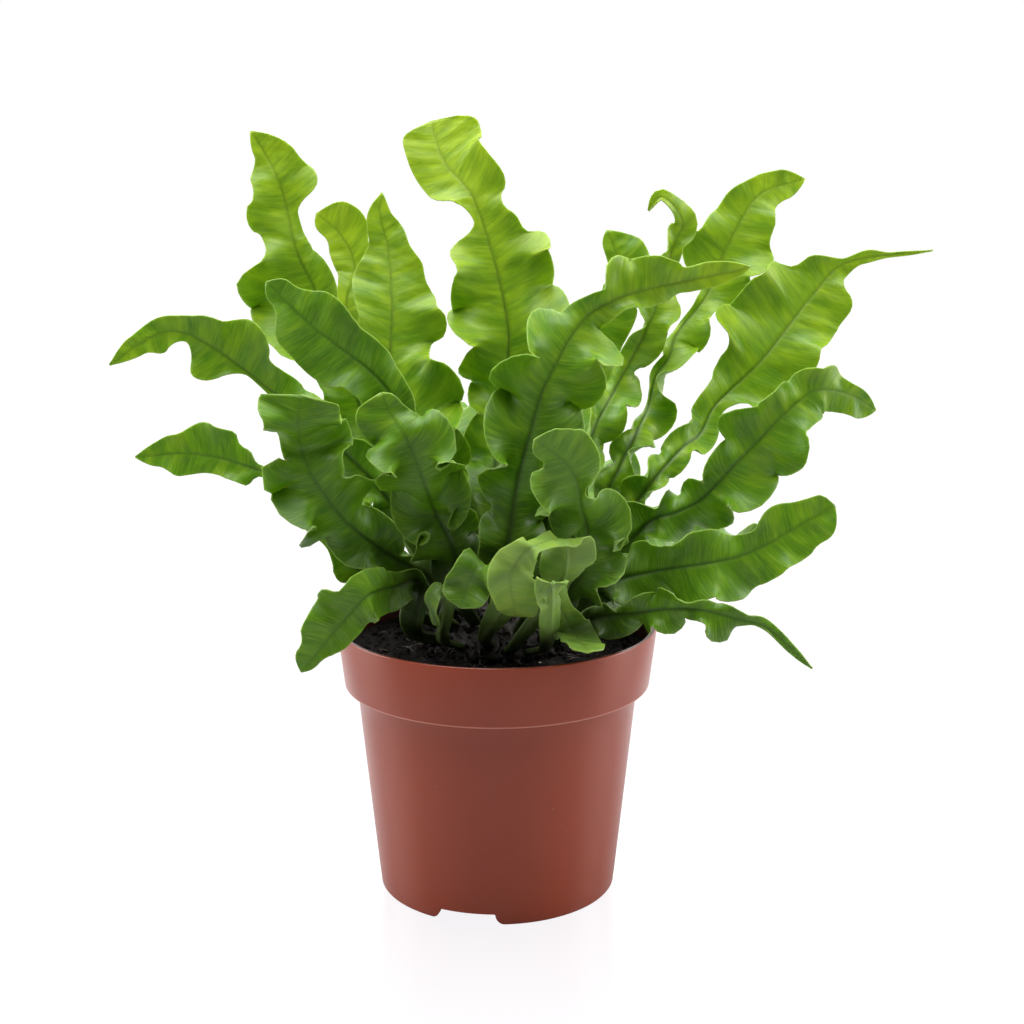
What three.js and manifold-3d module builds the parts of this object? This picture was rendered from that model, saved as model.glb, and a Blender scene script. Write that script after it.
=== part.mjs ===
// A potted bird's-nest fern with crisped fronds, standing in a round nursery pot.
// Lengths are millimetres, angles degrees, +Z is up. The plant is built with the pot's axis on Z and
// its feet at z = 0, and is then moved so that the middle of its spread lies over the origin.
import * as THREE from 'three';
import { mergeVertices } from 'three/addons/utils/BufferGeometryUtils.js';
import Module from 'manifold-3d';

const wasm = await Module();
wasm.setup();

// The pot
const POT_HEIGHT = 102;
const RIM_RADIUS = 60;
const RIM_LIP_WIDTH = 1.1;
const RIM_LIP_DROP = 1;
const COLLAR_HEIGHT = 22.7;
const COLLAR_BOTTOM_RADIUS = 57.4;
const BODY_TOP_RADIUS = 52.9;
const FOOT_RADIUS = 44.8;
const FOOT_ROUNDING = 0.6;
const WALL = 1.2;
const FLOOR_UNDERSIDE = 4.3;
const FLOOR_THICKNESS = 1.4;
const FOOT_RING_WIDTH = 2.2;
const NOTCH_WIDTH = 21;
const NOTCH_AZIMUTHS = [-104, 16, 136];
const DRAIN_RADIUS = 4;
const DRAIN_CIRCLE_RADIUS = 29;
const DRAIN_COUNT = 6;
const ROUND_SIDES = 48;

// The soil and the crown that the fronds grow from
const GAP = 0.3;
const SOIL_TOP = 93.5;
const CROWN_CENTRE = 85;
const CROWN_RADIUS = 26;
const CROWN_DEPTH = 6;
const CROWN_ROOT_RADIUS = 21;
const CROWN_SIDES = 28;
const CROWN_ARC_STEPS = 7;

// The blades
const BLADE_THICKNESS = 0.8;
const STALK_THICKNESS = 2.8;
const STALK_HALF_WIDTH = 2.3;
const STALK_STRAIGHT = 12;
const STALK_END = 0.07;
const TIP_HALF_WIDTH = 0.5;
const CUP = 12;
const LOBE_BULGE = 0.11;
const STATION_SPACING = 10;
const COLUMNS = 4;
const FEWEST_STATIONS = 9;
const CURVE_STEP = 0.001;
const PLAIN_TIP = 2.2;
const TIP_FULLNESS = 0.85;
const WAVE_START = 0.1;
const WAVE_FULL = 0.32;
const WAVE_FADE = 0.88;
const TIP_CALM = 0.7;

// How blades that would cross are drawn apart
const CLEARANCE = 3.2;
const REACH = 3;
const SETTLE_STATIONS = 64;
const SETTLE_COLUMNS = 10;
const SETTLE_SPREAD = 5;
const SETTLE_ROUNDS = 160;
const SETTLE_FIXED = 0.15;
const LOOSEST = -30;
const SETTLED = 0.025;

// The fronds, from the front of the plant (-Y) to its back. Each has its seat on the crown, as a tilt
// from the vertical and an azimuth, the azimuth that its upper side faces, and the roll of its blade
// about the midrib and the curl of its margin between lobes, both at even steps. path is its midrib
// past the stalk. left and right are the lobes of its two margins, each as the fraction of the frond's
// length where it stands and the half width of the blade there. A level frond arches over with its
// blade level from side to side, and the others stand flat to the way they face.
const FRONDS = [
  {
    name: 'front_right_low',
    seat: [66, -60], face: -80, turn: [0, 20, -25, 0], curl: [20, 40, 20], blunt: 6, level: true,
    path: [[19, -77, 136], [22, -53, 122], [27, -44, 110], [31, -67, 110]],
    left: [[0.3, 4], [0.55, 5], [0.7, 4], [0.86, 8]],
    right: [[0.3, 4], [0.5, 6], [0.68, 5], [0.86, 7]],
  },
  {
    name: 'front_fold',
    seat: [63, -79], face: -90, turn: [0], curl: [20, 30, 50, 60, 45], blunt: 4, level: true,
    path: [
      [21, -45, 125], [24, -59, 139], [23, -60, 147], [12, -71, 147], [7, -67, 141],
      [5, -66, 135], [7, -48, 117],
    ],
    left: [[0.28, 3], [0.5, 10], [0.66, 4], [0.82, 11], [0.94, 8]],
    right: [[0.28, 3], [0.48, 9], [0.64, 4], [0.79, 8], [0.93, 6]],
  },
  {
    name: 'front_low',
    seat: [58, -97], face: -90, turn: [0], curl: [15, 15, 15, 10], blunt: 4, level: true,
    path: [[4, -51, 126], [-2, -52, 136], [-7, -54, 135], [-10, -53, 128], [-12, -55, 122]],
    left: [[0.45, 5], [0.74, 10], [0.92, 8]],
    right: [[0.45, 5], [0.7, 8], [0.9, 8]],
  },
  {
    name: 'front_left_curl',
    seat: [62, -125], face: -110, turn: [0], curl: [40, 90], blunt: 4, level: true,
    path: [[-17, -44, 123], [-19, -42, 127], [-23, -45, 123], [-20, -43, 112]],
    left: [[0.41, 3], [0.62, 4]],
    right: [[0.83, 2], [0.95, 2]],
  },
  {
    name: 'front_right_curl',
    seat: [48, -66], face: 90, turn: [0, 0, 0, -20], curl: [60, 110, 110, 70, 20], blunt: 4,
    path: [
      [29, -39, 128], [31, -41, 136], [32, -40, 145], [29, -53, 157], [27, -62, 168],
      [22, -66, 176], [13, -70, 183],
    ],
    left: [[0.42, 10], [0.61, 12], [0.68, 16], [0.85, 15], [0.93, 5]],
    right: [[0.44, 15], [0.5, 15], [0.56, 16], [0.74, 2], [0.87, 12]],
  },
  {
    name: 'front_tall',
    seat: [35, -92], face: 90, turn: [0, 0, 10], curl: [60, 120, 120, 80, 20],
    path: [
      [4, -38, 140], [7, -38, 160], [12, -44, 182], [18, -46, 200], [35, -40, 223],
      [87, -32, 236],
    ],
    left: [
      [0.12, 10], [0.24, 11], [0.34, 14], [0.46, 17], [0.53, 19], [0.62, 16], [0.7, 6],
      [0.76, 14], [0.83, 11], [0.91, 5],
    ],
    right: [
      [0.21, 14], [0.32, 16], [0.46, 18], [0.57, 19], [0.66, 20], [0.7, 6], [0.82, 6], [0.91, 4],
    ],
  },
  {
    name: 'front_left_tall',
    seat: [40, -118], face: 90, turn: [0], curl: [60, 120, 130, 110, 50],
    path: [
      [-16, -29, 138], [-21, -29, 149], [-24, -38, 160], [-28, -42, 173], [-31, -45, 180],
      [-36, -41, 187], [-39, -40, 194],
    ],
    left: [[0.35, 16], [0.52, 15], [0.69, 16], [0.85, 15], [0.94, 12]],
    right: [[0.31, 11], [0.42, 13], [0.58, 15], [0.68, 16], [0.78, 16], [0.96, 5]],
  },
  {
    name: 'left_low_drooping',
    seat: [62, -150], face: 90, turn: [0], curl: [100, 60, 20], blunt: 2,
    path: [[-28, -16, 120], [-36, -30, 123], [-44, -50, 125], [-51, -50, 118], [-68, -48, 97]],
    left: [[0.18, 6], [0.62, 10], [0.81, 7], [0.94, 3]],
    right: [[0.38, 5], [0.66, 9], [0.72, 13], [0.83, 11], [0.94, 6]],
  },
  {
    name: 'left_front_broad',
    seat: [48, -142], face: 90, turn: [0, 0, 10, 10, 0], curl: [40, 110, 120, 90, 30], blunt: 9,
    path: [
      [-24, -10, 119], [-35, -18, 129], [-53, -31, 147], [-64, -39, 166], [-67, -37, 174],
      [-67, -45, 184], [-66, -45, 194],
    ],
    left: [
      [0.33, 12], [0.49, 12], [0.59, 18], [0.7, 17], [0.77, 17], [0.81, 7], [0.91, 12],
      [0.96, 14],
    ],
    right: [[0.22, 8], [0.32, 4], [0.43, 11], [0.62, 18], [0.82, 18], [0.96, 14]],
  },
  {
    name: 'right_lowest',
    seat: [62, -35], face: 90, turn: [0, 0, 0, 20], curl: [80, 115, 80, 20], blunt: 1.8,
    path: [
      [34, -26, 110], [52, -42, 117], [66, -48, 120], [82, -49, 117], [95, -46, 112],
      [111, -44, 97],
    ],
    left: [[0.29, 5], [0.41, 7], [0.49, 8], [0.6, 4], [0.68, 4], [0.76, 3], [0.86, 2]],
    right: [[0.3, 9], [0.41, 8], [0.5, 9], [0.58, 4], [0.66, 10], [0.76, 1], [0.9, 2]],
  },
  {
    name: 'right_low',
    seat: [56, -20], face: 90, turn: [-15, -10], curl: [80, 90, 45, 12], blunt: 3,
    path: [[38, -16, 119], [58, -30, 129], [73, -33, 132], [89, -33, 136], [119, -32, 153]],
    left: [[0.41, 12], [0.59, 12], [0.74, 7], [0.83, 11], [0.95, 7]],
    right: [[0.36, 11], [0.56, 13], [0.64, 15], [0.76, 12], [0.84, 11], [0.92, 9]],
  },
  {
    name: 'left_middle_dark',
    seat: [38, -160], face: 90, turn: [0, 15], curl: [60, 40, 20],
    path: [[-21, -3, 134], [-31, -14, 170], [-39, -20, 193], [-65, -30, 217], [-78, -34, 231]],
    left: [[0.65, 10], [0.78, 14], [0.89, 12], [0.96, 4]],
    right: [[0.59, 7], [0.72, 10], [0.86, 13], [0.96, 6]],
  },
  {
    name: 'left_far_low',
    seat: [54, 182], face: 90, turn: [0, 10], curl: [50, 50, 30, 8], blunt: 1.3,
    path: [
      [-36, -2, 126], [-57, -16, 146], [-71, -13, 155], [-85, -14, 162], [-108, -14, 168],
      [-130, -14, 167],
    ],
    left: [[0.47, 8], [0.67, 2], [0.71, 7], [0.79, 6], [0.89, 8], [0.95, 4]],
    right: [[0.57, 1], [0.68, 2], [0.73, 6], [0.78, 11], [0.83, 12], [0.9, 7]],
  },
  {
    name: 'left_short',
    seat: [62, 160], face: 90, turn: [0], curl: [45, 45, 20],
    path: [[-29, 1, 110], [-37, 12, 108], [-49, 1, 118], [-72, -10, 149]],
    left: [[0.67, 8], [0.8, 3], [0.93, 5]],
    right: [[0.58, 10], [0.74, 10]],
  },
  {
    name: 'right_broad',
    seat: [42, -8], face: 90, turn: [-10, -10], curl: [90, 125, 110, 60, 20],
    path: [
      [29, -9, 120], [49, -12, 136], [57, -17, 145], [65, -16, 147], [74, -16, 152],
      [88, -22, 169], [111, -20, 191], [125, -14, 190], [137, -8, 183],
    ],
    left: [
      [0.35, 11], [0.4, 9], [0.49, 9], [0.57, 9], [0.65, 16], [0.77, 9], [0.82, 9], [0.86, 9],
      [0.92, 4],
    ],
    right: [[0.4, 10], [0.49, 14], [0.58, 17], [0.69, 18], [0.78, 10], [0.94, 7]],
  },
  {
    name: 'left_far_high',
    seat: [38, 175], face: 90, turn: [0, 0], curl: [60, 95, 85, 20, 6], blunt: 1.3,
    path: [
      [-33, 6, 136], [-54, 4, 163], [-88, 6, 192], [-111, 2, 209], [-122, 0, 210],
      [-140, -4, 199],
    ],
    left: [[0.43, 11], [0.6, 2], [0.67, 1], [0.76, 13], [0.82, 3], [0.89, 7], [0.93, 4]],
    right: [[0.48, 10], [0.62, 9], [0.72, 17], [0.79, 10], [0.85, 6], [0.94, 4]],
  },
  {
    name: 'right_long',
    seat: [45, 15], face: 90, turn: [0, -15, -15, 0], curl: [80, 150, 45, 25, 8],
    path: [
      [33, -2, 118], [47, -2, 141], [57, -1, 155], [69, 6, 167], [76, 12, 171], [81, 16, 180],
      [88, 18, 187], [99, 18, 198], [119, 26, 222], [131, 30, 233], [164, 30, 238],
    ],
    left: [
      [0.29, 9], [0.35, 7], [0.41, 7], [0.51, 7], [0.58, 12], [0.64, 25], [0.7, 22], [0.76, 20],
      [0.8, 11], [0.85, 2], [0.89, 3], [0.93, 1],
    ],
    right: [
      [0.33, 5], [0.37, 6], [0.44, 7], [0.51, 4], [0.58, 16], [0.66, 18], [0.71, 16], [0.78, 15],
      [0.83, 5], [0.88, 2], [0.93, 1],
    ],
  },
  {
    name: 'right_edge_on',
    seat: [22, 30], face: 90, turn: [0, 20], curl: [70, 110, 120, 90, 50],
    path: [
      [24, 4, 124], [30, -1, 158], [37, 5, 176], [45, 15, 189], [58, 20, 214], [66, 26, 240],
      [69, 26, 249], [61, 22, 258], [56, 22, 253],
    ],
    left: [[0.32, 7], [0.47, 6], [0.63, 5], [0.7, 7], [0.8, 5], [0.86, 5], [0.92, 2]],
    right: [[0.53, 11], [0.63, 9], [0.72, 10], [0.81, 4], [0.89, 6], [0.96, 3]],
  },
  {
    name: 'right_tall',
    seat: [34, 45], face: 90, turn: [0, -30, -10], curl: [75, 130, 130, 40, 8], blunt: 1.4,
    path: [
      [28, 10, 115], [39, 9, 144], [49, 12, 165], [58, 32, 178], [61, 33, 190], [66, 35, 197],
      [69, 39, 205], [81, 44, 220], [85, 47, 230], [91, 47, 243], [101, 50, 258], [119, 54, 264],
    ],
    left: [
      [0.36, 7], [0.44, 3], [0.55, 3], [0.6, 4], [0.66, 2], [0.71, 3], [0.78, 16], [0.83, 12],
      [0.88, 10], [0.92, 7], [0.96, 6],
    ],
    right: [
      [0.39, 9], [0.49, 12], [0.59, 10], [0.65, 12], [0.7, 7], [0.74, 15], [0.81, 19], [0.86, 13],
      [0.96, 6],
    ],
  },
  {
    name: 'centre_hidden',
    seat: [15, 80], face: 90, turn: [0], curl: [70, 90, 70],
    path: [
      [9, 20, 113], [22, 7, 151], [30, 28, 181], [38, 32, 208], [47, 38, 228], [42, 42, 245],
    ],
    left: [[0.59, 13], [0.75, 8], [0.96, 4]],
    right: [[0.64, 16], [0.8, 12], [0.92, 12]],
  },
  {
    name: 'left_centre_tall',
    seat: [20, 130], face: 90, turn: [0, 10], curl: [70, 100, 60, 20, 6], blunt: 1.4,
    path: [
      [-13, 6, 120], [-31, 20, 177], [-40, 26, 196], [-40, 31, 215], [-42, 40, 239],
      [-45, 42, 250], [-44, 44, 259],
    ],
    left: [[0.41, 11], [0.55, 12], [0.66, 13], [0.78, 15], [0.92, 6]],
    right: [[0.45, 18], [0.5, 21], [0.63, 15], [0.7, 21], [0.74, 17], [0.81, 13], [0.89, 8]],
  },
  {
    name: 'centre_tallest',
    seat: [30, 95], face: 90, turn: [0, 0, 10, 0], curl: [60, 90, 75, 25, 4], blunt: 5,
    path: [
      [-1, 26, 119], [-1, 31, 150], [2, 42, 179], [4, 43, 208], [-9, 50, 256], [-21, 58, 271],
      [-26, 64, 286],
    ],
    left: [
      [0.33, 14], [0.41, 14], [0.47, 19], [0.58, 23], [0.64, 20], [0.72, 16], [0.77, 3],
      [0.88, 13], [0.95, 13],
    ],
    right: [
      [0.33, 24], [0.45, 26], [0.58, 25], [0.66, 22], [0.7, 23], [0.74, 14], [0.79, 10],
      [0.83, 15], [0.95, 18],
    ],
  },
  {
    name: 'left_narrow',
    seat: [32, 152], face: 90, turn: [0], curl: [60, 60, 40, 8], blunt: 3,
    path: [
      [-18, 21, 120], [-30, 23, 151], [-43, 32, 181], [-57, 38, 207], [-58, 40, 218],
      [-55, 45, 230], [-60, 48, 242], [-70, 50, 251],
    ],
    left: [[0.55, 9], [0.73, 3], [0.88, 8], [0.96, 5]],
    right: [[0.49, 12], [0.68, 9], [0.88, 8], [0.93, 12]],
  },
  {
    name: 'left_tall',
    seat: [47, 138], face: 90, turn: [0, 10], curl: [75, 95, 90, 45, 5], blunt: 1.5,
    path: [
      [-26, 18, 113], [-38, 33, 141], [-52, 44, 171], [-71, 49, 221], [-78, 48, 237],
      [-82, 52, 254], [-85, 52, 264], [-89, 54, 272], [-95, 54, 282],
    ],
    left: [[0.44, 13], [0.66, 27], [0.74, 27], [0.78, 11], [0.84, 16], [0.91, 10], [0.96, 4]],
    right: [[0.46, 13], [0.6, 10], [0.69, 9], [0.83, 4], [0.88, 15], [0.93, 11]],
  },
  {
    name: 'back_right_side',
    seat: [62, 14], face: 20, turn: [0], curl: [75], level: true,
    path: [[52, 26, 112], [90, 42, 124], [122, 54, 114]],
    left: [[0.24, 13], [0.41, 13], [0.58, 13], [0.76, 13], [0.93, 13]],
    right: [[0.15, 13], [0.33, 13], [0.5, 13], [0.67, 13], [0.84, 13]],
  },
  {
    name: 'back_right_low',
    seat: [60, 40], face: 42, turn: [0], curl: [75], level: true,
    path: [[46, 46, 106], [74, 76, 112], [98, 104, 102]],
    left: [[0.24, 14], [0.41, 14], [0.58, 14], [0.76, 14], [0.93, 14]],
    right: [[0.15, 14], [0.33, 14], [0.5, 14], [0.67, 14], [0.84, 14]],
  },
  {
    name: 'back_left_low',
    seat: [62, 140], face: 138, turn: [0], curl: [75], level: true,
    path: [[-44, 44, 112], [-62, 68, 126], [-76, 90, 128]],
    left: [[0.24, 12], [0.41, 12], [0.58, 12], [0.76, 12], [0.93, 12]],
    right: [[0.15, 12], [0.33, 12], [0.5, 12], [0.67, 12], [0.84, 12]],
  },
  {
    name: 'back_centre',
    seat: [44, 100], face: 97, turn: [0], curl: [75], level: true,
    path: [[-10, 34, 134], [-18, 62, 166], [-22, 94, 172]],
    left: [[0.24, 15], [0.41, 15], [0.58, 15], [0.76, 15], [0.93, 15]],
    right: [[0.15, 15], [0.33, 15], [0.5, 15], [0.67, 15], [0.84, 15]],
  },
  {
    name: 'back_right',
    seat: [48, 62], face: 64, turn: [0], curl: [75], level: true,
    path: [[26, 48, 124], [40, 80, 146], [52, 112, 138]],
    left: [[0.24, 15], [0.41, 15], [0.58, 15], [0.76, 15], [0.93, 15]],
    right: [[0.15, 15], [0.33, 15], [0.5, 15], [0.67, 15], [0.84, 15]],
  },
  {
    name: 'back_left',
    seat: [54, 118], face: 115, turn: [0], curl: [75], level: true,
    path: [[-24, 48, 116], [-38, 82, 136], [-50, 116, 128]],
    left: [[0.24, 15], [0.41, 15], [0.58, 15], [0.76, 15], [0.93, 15]],
    right: [[0.15, 15], [0.33, 15], [0.5, 15], [0.67, 15], [0.84, 15]],
  },
  {
    name: 'back_centre_right',
    seat: [60, 80], face: 84, turn: [0], curl: [75], level: true,
    path: [[14, 56, 106], [22, 90, 116], [28, 122, 104]],
    left: [[0.24, 14], [0.41, 14], [0.58, 14], [0.76, 14], [0.93, 14]],
    right: [[0.15, 14], [0.33, 14], [0.5, 14], [0.67, 14], [0.84, 14]],
  },
];

const radians = THREE.MathUtils.degToRad;

const materials = {
  pot: new THREE.MeshStandardMaterial({ color: '#7d3e32', roughness: 0.38, metalness: 0 }),
  soil: new THREE.MeshStandardMaterial({ color: '#1b1613', roughness: 0.95, metalness: 0 }),
  crown: new THREE.MeshStandardMaterial({ color: '#2d2417', roughness: 0.9, metalness: 0 }),
  frond: new THREE.MeshStandardMaterial({ color: '#5a9a2b', roughness: 0.45, metalness: 0 }),
};

// A closed mesh with its doubled vertices merged and its empty triangles dropped
function welded(geometry) {
  const bare = geometry.clone();
  bare.deleteAttribute('normal');
  bare.deleteAttribute('uv');
  const merged = mergeVertices(bare, 1e-4);
  const triangles = [];
  for (let i = 0; i < merged.index.count; i += 3) {
    const [a, b, c] = [0, 1, 2].map((k) => merged.index.getX(i + k));
    if (a !== b && b !== c && c !== a) triangles.push(a, b, c);
  }
  merged.setIndex(triangles);
  return merged;
}

function toSolid(geometry) {
  const closed = welded(geometry);
  return new wasm.Manifold(new wasm.Mesh({
    numProp: 3,
    vertProperties: Float32Array.from(closed.attributes.position.array),
    triVerts: Uint32Array.from(closed.index.array),
  }));
}

function fromSolid(solid) {
  const mesh = solid.getMesh();
  const geometry = new THREE.BufferGeometry();
  geometry.setAttribute('position', new THREE.BufferAttribute(mesh.vertProperties, 3));
  geometry.setIndex(Array.from(mesh.triVerts));
  return geometry;
}

function namedMesh(name, geometry, material) {
  geometry.computeVertexNormals();
  const mesh = new THREE.Mesh(geometry, material);
  mesh.name = name;
  return mesh;
}

// A solid of revolution about Z from [radius, height] points, listed up the outside
function turned(profile, sides) {
  const points = profile.map(([radius, height]) => new THREE.Vector2(radius, height));
  return new THREE.LatheGeometry(points, sides).rotateX(Math.PI / 2);
}

// The outer wall's radius at a height, below the collar
function bodyRadius(height) {
  const rise = height / (POT_HEIGHT - COLLAR_HEIGHT);
  return FOOT_RADIUS + (BODY_TOP_RADIUS - FOOT_RADIUS) * rise;
}

const collarFoot = POT_HEIGHT - COLLAR_HEIGHT;
const innerStep = collarFoot + WALL;
const floorTop = FLOOR_UNDERSIDE + FLOOR_THICKNESS;

// The inside of the pot, from the floor's edge to the rim, drawn in by a margin
function innerWall(margin) {
  return [
    [bodyRadius(floorTop) - WALL - margin, floorTop + margin],
    [BODY_TOP_RADIUS - WALL - margin, innerStep + margin],
    [COLLAR_BOTTOM_RADIUS - WALL - margin, innerStep + margin],
    [RIM_RADIUS - RIM_LIP_WIDTH - WALL - margin, POT_HEIGHT - RIM_LIP_DROP],
  ];
}

function makePot() {
  const footInside = FOOT_RADIUS - FOOT_RING_WIDTH;
  const wall = toSolid(turned([
    [0, FLOOR_UNDERSIDE],
    [footInside, FLOOR_UNDERSIDE],
    [footInside, 0],
    [FOOT_RADIUS - FOOT_ROUNDING, 0],
    [FOOT_RADIUS, FOOT_ROUNDING],
    [BODY_TOP_RADIUS, collarFoot],
    [COLLAR_BOTTOM_RADIUS, collarFoot],
    [RIM_RADIUS, POT_HEIGHT - FOOT_ROUNDING],
    [RIM_RADIUS - FOOT_ROUNDING, POT_HEIGHT],
    [RIM_RADIUS - RIM_LIP_WIDTH, POT_HEIGHT],
    [RIM_RADIUS - RIM_LIP_WIDTH, POT_HEIGHT - RIM_LIP_DROP],
    ...innerWall(0).reverse(),
    [0, floorTop],
  ], ROUND_SIDES));
  const cuts = NOTCH_AZIMUTHS.map((azimuth) => {
    const notch = new THREE.BoxGeometry(3 * FOOT_RING_WIDTH, NOTCH_WIDTH, 2 * FLOOR_UNDERSIDE);
    notch.translate(FOOT_RADIUS - FOOT_RING_WIDTH / 2, 0, 0).rotateZ(radians(azimuth));
    return toSolid(notch);
  });
  for (let i = 0; i < DRAIN_COUNT; i += 1) {
    const drain = new THREE.CylinderGeometry(DRAIN_RADIUS, DRAIN_RADIUS, 4 * FLOOR_THICKNESS, 12);
    drain.rotateX(Math.PI / 2).translate(DRAIN_CIRCLE_RADIUS, 0, FLOOR_UNDERSIDE);
    drain.rotateZ((2 * Math.PI * i) / DRAIN_COUNT);
    cuts.push(toSolid(drain));
  }
  return fromSolid(cuts.reduce((pot, cut) => pot.subtract(cut), wall));
}

function makeSoil() {
  const [low, step, ledge, top] = innerWall(GAP);
  const rise = (SOIL_TOP - ledge[1]) / (top[1] - ledge[1]);
  return welded(turned([
    [0, low[1]],
    low,
    step,
    ledge,
    [ledge[0] + (top[0] - ledge[0]) * rise, SOIL_TOP],
    [CROWN_ROOT_RADIUS + GAP, SOIL_TOP],
    [CROWN_ROOT_RADIUS + GAP, SOIL_TOP - CROWN_DEPTH - GAP],
    [0, SOIL_TOP - CROWN_DEPTH - GAP],
  ], ROUND_SIDES));
}

// The crown is a dome standing in a plain hole in the soil
function makeCrown() {
  const low = SOIL_TOP + GAP;
  const start = Math.asin((low - CROWN_CENTRE) / CROWN_RADIUS);
  const dome = [];
  for (let i = 0; i <= CROWN_ARC_STEPS; i += 1) {
    const angle = start + ((Math.PI / 2 - start) * i) / CROWN_ARC_STEPS;
    dome.push([CROWN_RADIUS * Math.cos(angle), CROWN_CENTRE + CROWN_RADIUS * Math.sin(angle)]);
  }
  dome[CROWN_ARC_STEPS][0] = 0;
  return welded(turned([
    [0, SOIL_TOP - CROWN_DEPTH],
    [CROWN_ROOT_RADIUS, SOIL_TOP - CROWN_DEPTH],
    [CROWN_ROOT_RADIUS, low],
    ...dome,
  ], CROWN_SIDES));
}

// The spot on the crown where a frond is seated, and the direction it leaves in
function seatOf(frond) {
  const [tilt, azimuth] = frond.seat.map(radians);
  const away = new THREE.Vector3(
    Math.sin(tilt) * Math.cos(azimuth),
    Math.sin(tilt) * Math.sin(azimuth),
    Math.cos(tilt),
  );
  const base = away.clone().multiplyScalar(CROWN_RADIUS + GAP);
  base.z += CROWN_CENTRE;
  return { base, away };
}

// A smooth curve through points, run from 0 to 1 by the length of its chords
function smoothCurve(points) {
  const last = points.length - 1;
  const knots = [0];
  for (let i = 0; i < last; i += 1) knots.push(knots[i] + points[i].distanceTo(points[i + 1]));
  for (let i = 1; i <= last; i += 1) knots[i] /= knots[last];
  const slopes = points.map((point, i) => {
    const [a, b] = [Math.max(i - 1, 0), Math.min(i + 1, last)];
    return points[b].clone().sub(points[a]).divideScalar(knots[b] - knots[a]);
  });
  return (along) => {
    let i = 0;
    while (i < last - 1 && along >= knots[i + 1]) i += 1;
    const span = knots[i + 1] - knots[i];
    const t = (along - knots[i]) / span;
    const point = points[i].clone().multiplyScalar(2 * t ** 3 - 3 * t ** 2 + 1);
    point.addScaledVector(slopes[i], (t ** 3 - 2 * t ** 2 + t) * span);
    point.addScaledVector(points[i + 1], -2 * t ** 3 + 3 * t ** 2);
    return point.addScaledVector(slopes[i + 1], (t ** 3 - t ** 2) * span);
  };
}

// Values given at even steps along the frond, joined smoothly
function evenSteps(values, along) {
  if (values.length === 1) return values[0];
  const place = along * (values.length - 1);
  const i = Math.min(Math.floor(place), values.length - 2);
  return THREE.MathUtils.lerp(values[i], values[i + 1], THREE.MathUtils.smoothstep(place - i, 0, 1));
}

// Half the blade's width on one side, from the stalk over each lobe to the tip
function halfWidth(lobes, blunt, along) {
  const marks = [[0, STALK_HALF_WIDTH], [STALK_END, STALK_HALF_WIDTH], ...lobes];
  let i = 0;
  while (i < marks.length - 2 && along >= marks[i + 1][0]) i += 1;
  const [[from, low], [to, high]] = [marks[i], marks[i + 1]];
  const width = THREE.MathUtils.lerp(low, high, THREE.MathUtils.smoothstep(along, from, to));
  const pastLast = Math.max(0, (along - to) / (1 - to));
  const taper = i === marks.length - 2 ? Math.max(1 - pastLast ** blunt, 0) ** TIP_FULLNESS : 1;
  return Math.max(width * taper, TIP_HALF_WIDTH);
}

// The margin's wave: it crosses the blade's own plane at each lobe and stands furthest off between
function wavePhase(lobes, along) {
  const last = lobes.length - 1;
  const pitch = (lobes[last][0] - lobes[0][0]) / last;
  if (along < lobes[0][0]) return (Math.PI * (along - lobes[0][0])) / pitch;
  if (along > lobes[last][0]) return Math.PI * (last + (along - lobes[last][0]) / pitch);
  let i = 0;
  while (i < last - 1 && along >= lobes[i + 1][0]) i += 1;
  return Math.PI * (i + (along - lobes[i][0]) / (lobes[i + 1][0] - lobes[i][0]));
}

function evenPlaces(count) {
  return Array.from({ length: count + 1 }, (_, i) => i / count);
}

// Rows of points over the blade's middle surface, one at each place from its seat, 0, to its tip, 1
function bladeRows(frond, places, columns) {
  const { base, away } = seatOf(frond);
  const route = frond.path.map((point) => new THREE.Vector3(...point));
  const midrib = smoothCurve([base, base.clone().addScaledVector(away, STALK_STRAIGHT), ...route]);
  const facing = radians(frond.face);
  const rows = [];
  places.forEach((along) => {
    const centre = midrib(along);
    const ahead = midrib(Math.min(along + CURVE_STEP, 1)).sub(midrib(Math.max(along - CURVE_STEP, 0)));
    ahead.normalize();
    const flat = frond.level
      ? new THREE.Vector3(-Math.sin(facing), Math.cos(facing), 0)
      : ahead.clone().cross(new THREE.Vector3(Math.cos(facing), Math.sin(facing), 0));
    flat.addScaledVector(ahead, -flat.dot(ahead)).normalize();
    const roll = radians(evenSteps(frond.turn, along));
    const across = flat.applyAxisAngle(ahead, roll);
    const upper = ahead.clone().cross(across);
    const waving = THREE.MathUtils.smoothstep(along, WAVE_START, WAVE_FULL)
      * (1 - TIP_CALM * THREE.MathUtils.smoothstep(along, WAVE_FADE, 1));
    const curl = radians(evenSteps(frond.curl, along)) * waving;
    const row = [];
    for (let j = 0; j <= columns; j += 1) {
      const column = (2 * j) / columns - 1;
      const onLeft = column >= 0;
      const lobes = onLeft ? frond.left : frond.right;
      const reach = halfWidth(lobes, frond.blunt ?? PLAIN_TIP, along) * Math.abs(column);
      const phase = wavePhase(lobes, along);
      const wave = curl * Math.sin(phase) * (onLeft ? 1 : -1);
      const bend = (radians(CUP) + wave) * Math.abs(column);
      const outward = Math.abs(bend) > 1e-4 ? Math.sin(bend) / bend : 1;
      const lifted = Math.abs(bend) > 1e-4 ? (1 - Math.cos(bend)) / bend : bend / 2;
      const bulge = LOBE_BULGE * Math.abs(column) * curl * Math.sin(2 * phase);
      row.push(centre.clone()
        .addScaledVector(across, (onLeft ? 1 : -1) * reach * outward)
        .addScaledVector(upper, reach * lifted)
        .addScaledVector(ahead, reach * bulge));
    }
    rows.push(row);
  });
  return rows;
}

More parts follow.
